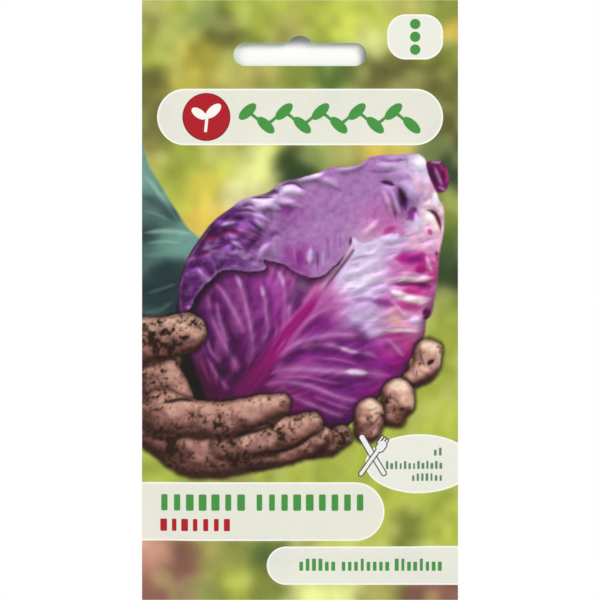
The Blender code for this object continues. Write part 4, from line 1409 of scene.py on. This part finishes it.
def build_rows_of_blocks():
    """Rows of small upright blocks with the rhythm of text. Some are tall, and some places are blank."""
    inputs = [
        ("Left", 0), ("Right", 10), ("Top", 10), ("Height", 2), ("Row Pitch", 4), ("Rows", 1), ("Block", 1.5),
        ("Blank Share", 0), ("Tall Share", 0.3), ("Seed", 1),
    ]
    tree, given, out = new_group("rows of blocks", inputs, MASK)
    do = calculator(tree)
    split = tree.nodes.new("ShaderNodeSeparateXYZ")
    tree.links.new(given["Place"], split.inputs[0])
    x, h = split.outputs["X"], split.outputs["Z"]
    rows_down = do("DIVIDE", do("SUBTRACT", given["Top"], h), given["Row Pitch"])
    row = do("FLOOR", rows_down)
    blocks_along = do("DIVIDE", do("SUBTRACT", x, given["Left"]), given["Block"])
    block = do("FLOOR", blocks_along)

    chance = tree.nodes.new("ShaderNodeTexWhiteNoise")
    chance.noise_dimensions = "3D"
    key = tree.nodes.new("ShaderNodeCombineXYZ")
    for value, socket in zip((block, row, given["Seed"]), key.inputs):
        tree.links.new(value, socket)
    tree.links.new(key.outputs[0], chance.inputs["Vector"])
    dice = tree.nodes.new("ShaderNodeSeparateColor")
    tree.links.new(chance.outputs["Color"], dice.inputs[0])

    tall = do("LESS_THAN", dice.outputs[0], given["Tall Share"])
    top_gap = do("MULTIPLY", do("SUBTRACT", 1, tall), do("MULTIPLY", given["Height"], 0.26))
    u = do("MULTIPLY", do("SUBTRACT", do("SUBTRACT", blocks_along, block), 0.5), given["Block"])
    down = do("MULTIPLY", do("SUBTRACT", rows_down, row), given["Row Pitch"])
    v = do("SUBTRACT", down, do("MULTIPLY", do("ADD", given["Height"], top_gap), 0.5))
    narrow = do("MULTIPLY", do("ADD", 0.21, do("MULTIPLY", dice.outputs[1], 0.12)), given["Block"])
    half_height = do("MULTIPLY", do("SUBTRACT", given["Height"], top_gap), 0.5)
    distance = box_distance(do, u, v, narrow, half_height, do("MULTIPLY", given["Block"], 0.12))
    mask = stepped(tree, distance, EDGE_SOFTNESS, -EDGE_SOFTNESS)
    for low, high in ((-0.001, row), (row, given["Rows"]), (given["Left"], x), (x, given["Right"]),
                      (given["Blank Share"], dice.outputs[2])):
        mask = do("MULTIPLY", mask, do("LESS_THAN", low, high))
    tree.links.new(mask, out.inputs["Mask"])
    return tree


def build_vine(oval):
    """A waving stem with a leaf on each side in turn."""
    inputs = [
        ("Left", -10), ("Right", 10), ("Centre H", 0), ("Swing", 1), ("Wave", 8), ("Stem", 0.4), ("Leaf", 3),
    ]
    tree, given, out = new_group("vine", inputs, MASK)
    do = calculator(tree)
    split = tree.nodes.new("ShaderNodeSeparateXYZ")
    tree.links.new(given["Place"], split.inputs[0])
    x, h = split.outputs["X"], do("SUBTRACT", split.outputs["Z"], given["Centre H"])
    turns = do("DIVIDE", do("SUBTRACT", x, given["Left"]), given["Wave"])
    wave = do("MULTIPLY", given["Swing"], do("SINE", do("MULTIPLY", turns, 2 * math.pi)))
    apart = do("ABSOLUTE", do("SUBTRACT", h, wave))
    stem = stepped(tree, apart, do("ADD", given["Stem"], 0.1), do("SUBTRACT", given["Stem"], 0.1))
    inset = do("MULTIPLY", given["Wave"], 0.25)
    for low, high in ((do("ADD", given["Left"], inset), x), (x, do("SUBTRACT", given["Right"], inset))):
        stem = do("MULTIPLY", stem, do("LESS_THAN", low, high))

    halves = do("MULTIPLY", turns, 2)
    number = do("FLOOR", halves)
    other_side = do("SUBTRACT", 1, do("MULTIPLY", 2, do("FLOORED_MODULO", number, 2)))
    near = tree.nodes.new("ShaderNodeCombineXYZ")
    from_middle = do("SUBTRACT", do("SUBTRACT", halves, number), 0.5)
    across_leaf = do("MULTIPLY", from_middle, do("MULTIPLY", given["Wave"], 0.5))
    tree.links.new(across_leaf, near.inputs["X"])
    tree.links.new(do("MULTIPLY", h, other_side), near.inputs["Z"])
    leaf = tree.nodes.new("ShaderNodeGroup")
    leaf.node_tree = oval
    tree.links.new(near.outputs[0], leaf.inputs["Place"])
    linked(tree, do("MULTIPLY", given["Leaf"], 0.62), leaf.inputs["Centre H"])
    linked(tree, given["Leaf"], leaf.inputs["Half Length"])
    linked(tree, do("MULTIPLY", given["Leaf"], 0.48), leaf.inputs["Half Height"])
    linked(tree, 0.75, leaf.inputs["Turn"])
    both = do("MAXIMUM", stem, leaf.outputs["Mask"])
    for low, high in ((given["Left"], x), (x, given["Right"])):
        both = do("MULTIPLY", both, do("LESS_THAN", low, high))
    tree.links.new(both, out.inputs["Mask"])
    return tree


rounded_bar, oval, rows_of_blocks = build_rounded_bar(), build_oval(), build_rows_of_blocks()
vine = build_vine(oval)
for group in (rounded_bar, oval, rows_of_blocks, vine):
    print(f"group {group.name}: {len(group.nodes)} nodes")


# %% [markdown]
# Each mark is then one group with its own values, and one Mix node that lays the mark's ink over what is
# below it. A few functions write marks down the way a printer would: by their left and right edges, or as a
# stick from one point to another.

# %% Writing marks down
def linear(*display):
    """A display colour from 0 to 255 as the linear colour that a shader wants."""
    share = np.array(display, float) / 255
    return (*np.where(share <= 0.04045, share / 12.92, ((share + 0.055) / 1.055) ** 2.4), 1)


def bar(left, right, low, high, corner):
    """A level bar between two sides and two heights."""
    return rounded_bar, {
        "Centre X": (left + right) / 2, "Centre H": (low + high) / 2,
        "Half Length": (right - left) / 2, "Half Height": (high - low) / 2, "Corner": corner,
    }


def stick(start, end, width):
    """A bar with round ends from one point to another."""
    length, rise = end[0] - start[0], end[1] - start[1]
    return rounded_bar, {
        "Centre X": (start[0] + end[0]) / 2, "Centre H": (start[1] + end[1]) / 2,
        "Half Length": (math.hypot(length, rise) + width) / 2, "Half Height": width / 2,
        "Corner": width / 2,
        "Turn": math.atan2(rise, length),
    }


def disc(x, h, half_length, half_height=None, turn=0.0):
    """An ellipse, or a circle if only one radius is given."""
    return oval, {
        "Centre X": x, "Centre H": h, "Half Length": half_length, "Half Height": half_height or half_length,
        "Turn": math.radians(turn),
    }


def words(left, right, low, high, block, blank=0.0, tall=0.3, seed=1, rows=1, pitch=50.0):
    """Rows of blocks. low and high are the first row's."""
    return rows_of_blocks, {
        "Left": left, "Right": right, "Top": high, "Height": high - low, "Row Pitch": pitch,
        "Rows": rows - 0.5,
        "Block": block, "Blank Share": blank, "Tall Share": tall, "Seed": seed,
    }


def laid(tree, below, colour, mask, strength=1.0):
    """A Mix node that lays a colour over what is below it, where the mask is 1."""
    mix = tree.nodes.new("ShaderNodeMix")
    mix.data_type = "RGBA"
    do = calculator(tree)
    linked(tree, mask if strength == 1 else do("MULTIPLY", mask, strength), mix.inputs["Factor"])
    linked(tree, below, mix.inputs["A"])
    linked(tree, colour, mix.inputs["B"])
    return mix.outputs["Result"]


def print_marks(tree, place, below, marks):
    """Lays all marks over a colour, first to last. A mark is (group and values, colour, strength)."""
    for (group, values), colour, strength in marks:
        shape = tree.nodes.new("ShaderNodeGroup")
        shape.node_tree = group
        tree.links.new(place, shape.inputs["Place"])
        for label, value in values.items():
            shape.inputs[label].default_value = value
        below = laid(tree, below, linear(*colour), shape.outputs["Mask"], strength)
    return below


print("a bar 10 mm long:", bar(0, 10, 0, 2, 1)[1])


# %% [markdown]
# ## The marks on the front
#
# The front has a badge, a name pill with a red disc, an oval with a knife and a fork, and two bands that
# run off the edges. All of them are warm white ink that lets a little of the picture through, with a
# brighter rim: the same shape twice, filled and as an outline. The name is a leafy vine, the disc holds a
# sprout, and the badge three pips.

# %% Front marks
RIM_WHITE, BAND_WHITE = (253, 252, 245), (239, 239, 229)
LEAF_GREEN, DEEP_GREEN, NAME_RED = (70, 150, 66), (42, 120, 58), (178, 20, 36)
STEEL, STEEL_EDGE = (240, 240, 238), (62, 62, 58)
RIM = 0.4
OFF_EDGE = PACKET_WIDTH / 2 + 8


def white_ink(shape, cover=0.9):
    """A shape in white ink with a brighter rim. cover is how little of the picture shows through."""
    group, values = shape
    return [(shape, BAND_WHITE, cover), ((group, values | {"Rim": RIM}), RIM_WHITE, 0.95)]


def sprout(x, h, size, colour):
    """Two leaves on a short stem."""
    return [
        (stick((x, h - 0.72 * size), (x + 0.08 * size, h + 0.05 * size), 0.16 * size), colour, 1),
        (disc(x - 0.36 * size, h + 0.22 * size, 0.46 * size, 0.24 * size, -35), colour, 1),
        (disc(x + 0.42 * size, h + 0.36 * size, 0.52 * size, 0.26 * size, 42), colour, 1),
    ]


def knife_and_fork():
    """Crossed, each with a dark edge round it."""
    knife = [((20.9, 31.8), (18.1, 36.4), 0.95), ((18.0, 36.4), (15.5, 40.7), 1.25)]
    fork = [((15.2, 31.6), (20.1, 38.3), 0.8), ((20.0, 38.1), (20.6, 38.9), 1.9)]
    tines = [((20.0 + d, 39.0 - 0.7 * d), (21.1 + d, 40.5 - 0.7 * d), 0.34) for d in (-0.5, 0.1, 0.7)]
    marks = []
    for sticks in (knife, fork + tines):
        marks += [(stick(start, end, width + 0.65), STEEL_EDGE, 0.9) for start, end, width in sticks]
        marks += [(stick(start, end, width), STEEL, 1) for start, end, width in sticks]
    return marks


FRONT_MARKS = white_ink(bar(21.85, 35.75, 135.15, 146.4, 4.6), 0.97)
FRONT_MARKS += [(disc(28.8, h, 1.3), LEAF_GREEN, 1) for h in (137.6, 140.8, 144.0)]
FRONT_MARKS += white_ink(bar(-35.7, 35.75, 113.7, 127.8, 7.0), 0.88)
NAME_VINE = {
    "Left": -15.4, "Right": 30.2, "Centre H": 120.4, "Swing": 1.3, "Wave": 9.12, "Stem": 0.5, "Leaf": 2.75,
}
FRONT_MARKS += [((vine, NAME_VINE), LEAF_GREEN, 1)]
FRONT_MARKS += [(disc(-23.4, 120.75, 6.0), (120, 10, 22), 1), (disc(-23.4, 120.75, 5.75), NAME_RED, 1)]
FRONT_MARKS += sprout(-23.6, 120.6, 4.6, (250, 246, 240))
FRONT_MARKS += white_ink(disc(29.85, 34.1, 13.5, 7.35), 0.97)
FRONT_MARKS += [(words(33.2, 35.8, 36.1, 38.1, 1.25, seed=3), DEEP_GREEN, 0.9),
                (words(21.2, 35.8, 32.8, 34.8, 1.12, seed=4), DEEP_GREEN, 0.9),
                (words(27.7, 35.8, 29.8, 31.7, 1.15, seed=5), DEEP_GREEN, 0.9)]
FRONT_MARKS += knife_and_fork()
FRONT_MARKS += white_ink(bar(-OFF_EDGE, 21.05, 14.9, 29.5, 7.3), 0.9)
FRONT_MARKS += [(words(-35.5, -13.1, 22.4, 26.5, 3.2, tall=1, seed=6), LEAF_GREEN, 1),
                (words(-11.7, 16.6, 22.4, 26.5, 3.14, tall=1, seed=7), LEAF_GREEN, 1),
                (words(-35.4, -16.9, 17.3, 20.4, 2.64, tall=1, seed=8), NAME_RED, 1)]
FRONT_MARKS += white_ink(bar(-8.3, OFF_EDGE, 3.8, 13.5, 4.85), 0.93)
FRONT_MARKS += [(words(-0.5, 9.1, 7.3, 10.4, 1.6, seed=9), LEAF_GREEN, 1),
                (words(10.1, 22.6, 7.3, 10.4, 1.56, seed=10), LEAF_GREEN, 1),
                (words(23.4, 35.7, 7.3, 10.4, 1.54, seed=11), LEAF_GREEN, 1)]
print(len(FRONT_MARKS), "marks on the front")


# %% [markdown]
# ## Laminated paper
#
# Both panels are paper under a clear film. The film makes it shine, the paper's fibres show as a very fine
# grain in the shine, and handling leaves faint broad waves. One group works out the height of that surface
# and how rough it is, and both materials use it. At the cut edge the white core of the paper shows, and the
# inside is plain white: a material can tell both from the way the surface faces.

# %% The laminate
def build_laminate():
    """Height and roughness of laminated paper."""
    outputs = [("Height", "NodeSocketFloat"), ("Roughness", "NodeSocketFloat"), ("Fibre", "NodeSocketFloat")]
    tree, given, out = new_group("laminate", [("Shine", 0.28), ("Grain", 1)], outputs)
    do = calculator(tree)

    def noise(scale, detail):
        node = tree.nodes.new("ShaderNodeTexNoise")
        node.inputs["Scale"].default_value = scale
        node.inputs["Detail"].default_value = detail
        tree.links.new(given["Place"], node.inputs["Vector"])
        return node.outputs["Fac"]

    fibre, film, waves = noise(3.2, 3), noise(0.55, 2), noise(0.07, 1)
    grain = do("MULTIPLY", fibre, do("MULTIPLY", given["Grain"], 0.10))
    height = do("ADD", grain, do("MULTIPLY", film, 0.22))
    tree.links.new(do("ADD", height, do("MULTIPLY", waves, 1.2)), out.inputs["Height"])
    uneven = do("MULTIPLY", do("SUBTRACT", do("ADD", fibre, film), 1), 0.12)
    tree.links.new(do("ADD", given["Shine"], uneven), out.inputs["Roughness"])
    tree.links.new(fibre, out.inputs["Fibre"])
    return tree


laminate = build_laminate()
CORE_WHITE = linear(244, 242, 236)


def laminated_material(name, facing, shine, colour_of):
    """Printed laminate. facing is -1 for a front, 1 for a back. colour_of(tree, place) gives the print."""
    made = bpy.data.materials.new(name)
    made.use_nodes = True
    tree = made.node_tree
    do = calculator(tree)
    shader = tree.nodes["Principled BSDF"]
    shader.inputs["Specular IOR Level"].default_value = 0.3

    where = tree.nodes.new("ShaderNodeTexCoord")
    place = tree.nodes.new("ShaderNodeMapping")
    # Millimetres from the middle line and the bottom edge, with x to the right as one looks at the print.
    place.inputs["Scale"].default_value = (-facing / MM, 1 / MM, 1 / MM)
    place.inputs["Location"].default_value = (0, 0, -BOTTOM_EDGE)
    tree.links.new(where.outputs["Object"], place.inputs["Vector"])
    place = place.outputs["Vector"]

    surface = tree.nodes.new("ShaderNodeGroup")
    surface.node_tree = laminate
    surface.inputs["Shine"].default_value = shine
    tree.links.new(place, surface.inputs["Place"])
    bump = tree.nodes.new("ShaderNodeBump")
    bump.inputs["Strength"].default_value = 0.25
    bump.inputs["Distance"].default_value = 0.0001
    tree.links.new(surface.outputs["Height"], bump.inputs["Height"])
    tree.links.new(bump.outputs["Normal"], shader.inputs["Normal"])
    tree.links.new(surface.outputs["Roughness"], shader.inputs["Roughness"])

    normal = tree.nodes.new("ShaderNodeSeparateXYZ")
    tree.links.new(where.outputs["Normal"], normal.inputs[0])
    printed = stepped(tree, do("MULTIPLY", normal.outputs["Y"], facing), 0.4, 0.6)
    tree.links.new(laid(tree, CORE_WHITE, colour_of(tree, place), printed), shader.inputs["Base Color"])
    return made


def front_colour(tree, place):
    """The painted picture with the marks over it."""
    picture = tree.nodes.new("ShaderNodeAttribute")
    picture.attribute_name = "print_ink"
    return print_marks(tree, place, picture.outputs["Color"], FRONT_MARKS)


front.data.materials.append(laminated_material("front_print", -1, 0.28, front_colour))
print("front material:", len(front.data.materials[0].node_tree.nodes), "nodes")


# %% [markdown]
# ## The back
#
# Nobody looks at a packet's back for its beauty: it is pale, with a green header, a line of words for a
# name, a calendar of twelve months for sowing, planting and harvest, three small pictures on how deep and
# how far apart, and a block of text. All of it is the same few marks again.

# %% Back marks
PAPER_CREAM, HEADER_GREEN, TEXT_GREY = (236, 238, 218), (112, 152, 54), (74, 84, 70)
PALE_CELL, SOW_GREEN, PLANT_GREEN = (214, 220, 196), (166, 196, 74), (70, 140, 66)
HARVEST_PURPLE, SOIL_BROWN, SUN_YELLOW = (132, 58, 140), (112, 82, 62), (238, 196, 62)
TILE_WHITE, SPROUT_WHITE = (250, 250, 244), (250, 246, 240)
MONTH, FIRST_MONTH = 4.6, -22.0


def month_row(low, first, last, colour):
    """Twelve cells, and those from the first month to the last in a colour."""
    height = 3.4
    row = dict(low=low, high=low + height, block=MONTH, tall=1, seed=2)
    left, right = FIRST_MONTH + (first - 1) * MONTH, FIRST_MONTH + last * MONTH
    return [(words(FIRST_MONTH, FIRST_MONTH + 12 * MONTH - 0.01, **row), PALE_CELL, 1),
            (words(left, right - 0.01, **row), colour, 1)]


def picture_tile(x):
    """A white tile with ground in its lower part."""
    return [(bar(x - 8.5, x + 8.5, 44, 61, 2.2), TILE_WHITE, 1),
            (bar(x - 7.3, x + 7.3, 45.2, 50.5, 1.2), SOIL_BROWN, 1)]


BACK_MARKS = [
    (bar(-OFF_EDGE, OFF_EDGE, 126, 170, 0.1), HEADER_GREEN, 1),
    (bar(-OFF_EDGE, OFF_EDGE, 125, 125.6, 0.1), HEADER_GREEN, 1),
    (bar(-OFF_EDGE, OFF_EDGE, -10, 6.5, 0.1), HEADER_GREEN, 1),
    (words(-33, 4, 113.6, 118.4, 3.7, tall=1, seed=21), LEAF_GREEN, 1),
    (words(-33, -8, 108, 111, 2.5, tall=1, seed=22), NAME_RED, 1),
    (disc(26, 114.2, 6.4), NAME_RED, 1),
]
BACK_MARKS += sprout(25.8, 114, 4.9, SPROUT_WHITE)
BACK_MARKS += [(words(-33, 33, 100.2, 101.8, 1.05, 0.15, seed=23, rows=4, pitch=2.7), TEXT_GREY, 1)]
CALENDAR = ((83.5, 3, 5, SOW_GREEN), (78.7, 5, 6, PLANT_GREEN), (73.9, 8, 10, HARVEST_PURPLE))
for low, first, last, colour in CALENDAR:
    BACK_MARKS += month_row(low, first, last, colour)
    BACK_MARKS += [(words(-33.6, -24, low + 0.9, low + 2.5, 1.1, seed=low), TEXT_GREY, 1)]
for x in (-22.5, 0, 22.5):
    BACK_MARKS += picture_tile(x)
BACK_MARKS += [(disc(-22.5, 47.8, 0.9), (40, 20, 24), 1)]
BACK_MARKS += [(stick((-27.6, 47.8), (-27.6, 50.2), 0.4), TILE_WHITE, 1)]
for x, size in ((-3.8, 3.4), (3.8, 3.4), (22.5, 3.6)):
    BACK_MARKS += sprout(x, 53.4, size, LEAF_GREEN)
BACK_MARKS += [(disc(28, 57.8, 1.7), SUN_YELLOW, 1)]
BACK_MARKS += [(words(-33, 33, 38, 39.6, 1.05, 0.15, seed=31, rows=7, pitch=2.7), TEXT_GREY, 1),
               (bar(-33, 6, 9.5, 17, 1.6), TILE_WHITE, 1),
               (words(-31, 4, 12.2, 14.4, 1.5, 0.2, 1, 33), TEXT_GREY, 1),
               (disc(26.5, 13.2, 3.6), LEAF_GREEN, 1), (disc(26.5, 13.2, 2.9), PAPER_CREAM, 1)]
BACK_MARKS += sprout(26.4, 13.1, 2.2, LEAF_GREEN)
print(len(BACK_MARKS), "marks on the back")


def back_colour(tree, place):
    """Cream paper, a little mottled, with the marks over it."""
    fibres = tree.nodes.new("ShaderNodeTexNoise")
    fibres.inputs["Scale"].default_value = 0.12
    tree.links.new(place, fibres.inputs["Vector"])
    paper = laid(tree, linear(*PAPER_CREAM), linear(224, 232, 196), fibres.outputs["Fac"], 0.6)
    return print_marks(tree, place, paper, BACK_MARKS)


back.data.materials.append(laminated_material("back_print", 1, 0.36, back_colour))
print("back material:", len(back.data.materials[0].node_tree.nodes), "nodes")


# %% [markdown]
# ## The seeds
#
# A pinch of round brown seeds lies in the bottom of the pocket. They could be 56 spheres, but a seed has a
# dented coat and no two lie the same way. Geometry Nodes fit this well: one seed is made and dented once,
# set on every place of the heap, turned at random, scaled to that place's size, and made real.

# %% The seed coat
def seed_coat_material():
    """Dark brown with a purple bloom and pits."""
    made = bpy.data.materials.new("seed_coat")
    made.use_nodes = True
    tree = made.node_tree
    do = calculator(tree)
    shader = tree.nodes["Principled BSDF"]
    where = tree.nodes.new("ShaderNodeTexCoord")
    pits = tree.nodes.new("ShaderNodeTexVoronoi")
    pits.inputs["Scale"].default_value = 6 / MM
    cast = tree.nodes.new("ShaderNodeTexNoise")
    cast.inputs["Scale"].default_value = 0.7 / MM
    for pattern in (pits, cast):
        tree.links.new(where.outputs["Object"], pattern.inputs["Vector"])
    tone = laid(tree, linear(64, 34, 30), linear(104, 62, 52), stepped(tree, cast.outputs["Fac"], 0.35, 0.65))
    tone = laid(tree, tone, linear(34, 18, 22), stepped(tree, pits.outputs["Distance"], 0.2, 0.0), 0.7)
    tree.links.new(tone, shader.inputs["Base Color"])
    tree.links.new(do("ADD", 0.42, do("MULTIPLY", cast.outputs["Fac"], 0.3)), shader.inputs["Roughness"])
    bump = tree.nodes.new("ShaderNodeBump")
    bump.inputs["Strength"].default_value = 0.5
    bump.inputs["Distance"].default_value = 0.00005
    tree.links.new(pits.outputs["Distance"], bump.inputs["Height"])
    tree.links.new(bump.outputs["Normal"], shader.inputs["Normal"])
    return made


seed_coat = seed_coat_material()
print("seed coat:", len(seed_coat.node_tree.nodes), "nodes")


# %% The heap as Geometry Nodes
def seed_tree(coat):
    """(tree, identifiers of its inputs by name)."""
    tree = bpy.data.node_groups.new("heap of seeds", "GeometryNodeTree")
    tree.is_modifier = True
    ids = {}
    sockets = (("Places", "NodeSocketGeometry", None), ("Dent Depth", "NodeSocketFloat", 0.03),
               ("Dent Size", "NodeSocketFloat", 1.6), ("Random Turn", "NodeSocketInt", 5))
    for label, kind, default in sockets:
        socket = tree.interface.new_socket(label, in_out="INPUT", socket_type=kind)
        if default is not None:
            socket.default_value = default
        ids[label] = socket.identifier
    tree.interface.new_socket("Seeds", in_out="OUTPUT", socket_type="NodeSocketGeometry")
    add, join = tree.nodes.new, tree.links.new
    entry, leave = add("NodeGroupInput"), add("NodeGroupOutput")

    ball = add("GeometryNodeMeshIcoSphere")
    ball.inputs["Radius"].default_value = 1.0
    ball.inputs["Subdivisions"].default_value = 3
    dents = add("ShaderNodeTexNoise")
    join(entry.outputs["Dent Size"], dents.inputs["Scale"])
    depth = add("ShaderNodeMath")
    depth.operation = "MULTIPLY"
    join(dents.outputs["Fac"], depth.inputs[0])
    join(entry.outputs["Dent Depth"], depth.inputs[1])
    inwards = add("ShaderNodeVectorMath")
    inwards.operation = "SCALE"
    join(add("GeometryNodeInputNormal").outputs[0], inwards.inputs[0])
    negative = add("ShaderNodeMath")
    negative.operation = "MULTIPLY"
    negative.inputs[1].default_value = -2.0
    join(depth.outputs[0], negative.inputs[0])
    join(negative.outputs[0], inwards.inputs["Scale"])
    dented = add("GeometryNodeSetPosition")
    join(ball.outputs["Mesh"], dented.inputs["Geometry"])
    join(inwards.outputs[0], dented.inputs["Offset"])
    smoothed = add("GeometryNodeSetShadeSmooth")
    join(dented.outputs[0], smoothed.inputs[0])

    turn = add("FunctionNodeRandomValue")
    turn.data_type = "FLOAT_VECTOR"
    turn.inputs["Max"].default_value = (2 * math.pi,) * 3
    join(entry.outputs["Random Turn"], turn.inputs["Seed"])
    radius = add("GeometryNodeInputNamedAttribute")
    radius.data_type = "FLOAT"
    radius.inputs["Name"].default_value = "seed_radius"
    spread = add("GeometryNodeInstanceOnPoints")
    join(entry.outputs["Places"], spread.inputs["Points"])
    join(smoothed.outputs[0], spread.inputs["Instance"])
    join(turn.outputs["Value"], spread.inputs["Rotation"])
    join(radius.outputs["Attribute"], spread.inputs["Scale"])
    real = add("GeometryNodeRealizeInstances")
    join(spread.outputs[0], real.inputs[0])
    finish = add("GeometryNodeSetMaterial")
    finish.inputs["Material"].default_value = coat
    join(real.outputs[0], finish.inputs["Geometry"])
    join(finish.outputs[0], leave.inputs[0])
    return tree, ids


def heap_of_seeds():
    """One plain mesh of all the seeds, each inside the CAD seed that it stands for."""
    boxes = [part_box(name) for name in SEEDS]
    points = bpy.data.meshes.new("seed_places")
    points.from_pydata([tuple((low + high) / 2) for low, high in boxes], [], [])
    radii = points.attributes.new("seed_radius", "FLOAT", "POINT")
    radii.data.foreach_set("value", [min(high - low) / 2 for low, high in boxes])
    holder = bpy.data.objects.new("seed_places", points)
    bpy.context.scene.collection.objects.link(holder)

    tree, ids = seed_tree(seed_coat)
    modifier = holder.modifiers.new("heap", "NODES")
    modifier.node_group = tree
    modifier[ids["Dent Depth"]] = 0.03
    modifier[ids["Dent Size"]] = 1.6
    modifier[ids["Random Turn"]] = 5
    bpy.context.view_layer.update()
    seen = holder.evaluated_get(bpy.context.evaluated_depsgraph_get())
    mesh = bpy.data.meshes.new_from_object(seen)
    mesh.name = "loose_seeds"
    bpy.data.objects.remove(holder)
    heap = bpy.data.objects.new("loose_seeds", mesh)
    bpy.context.scene.collection.objects.link(heap)
    print(f"{len(boxes)} seeds, {len(mesh.polygons)} faces")
    return heap


seeds = heap_of_seeds()


# %% [markdown]
# ## Where everything ends up
#
# Each piece hides the solids of the model that it stands for, and is attached to the body that it moves
# with. The packet is one body.

# %% Hand over to the frame
for piece, nodes, finish in ((front, ["front_panel"], "front_print"), (back, ["back_panel"], "back_print"),
                             (seeds, SEEDS, "seed_coat")):
    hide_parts(*nodes)
    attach(piece, "root")

bpy.context.view_layer.update()
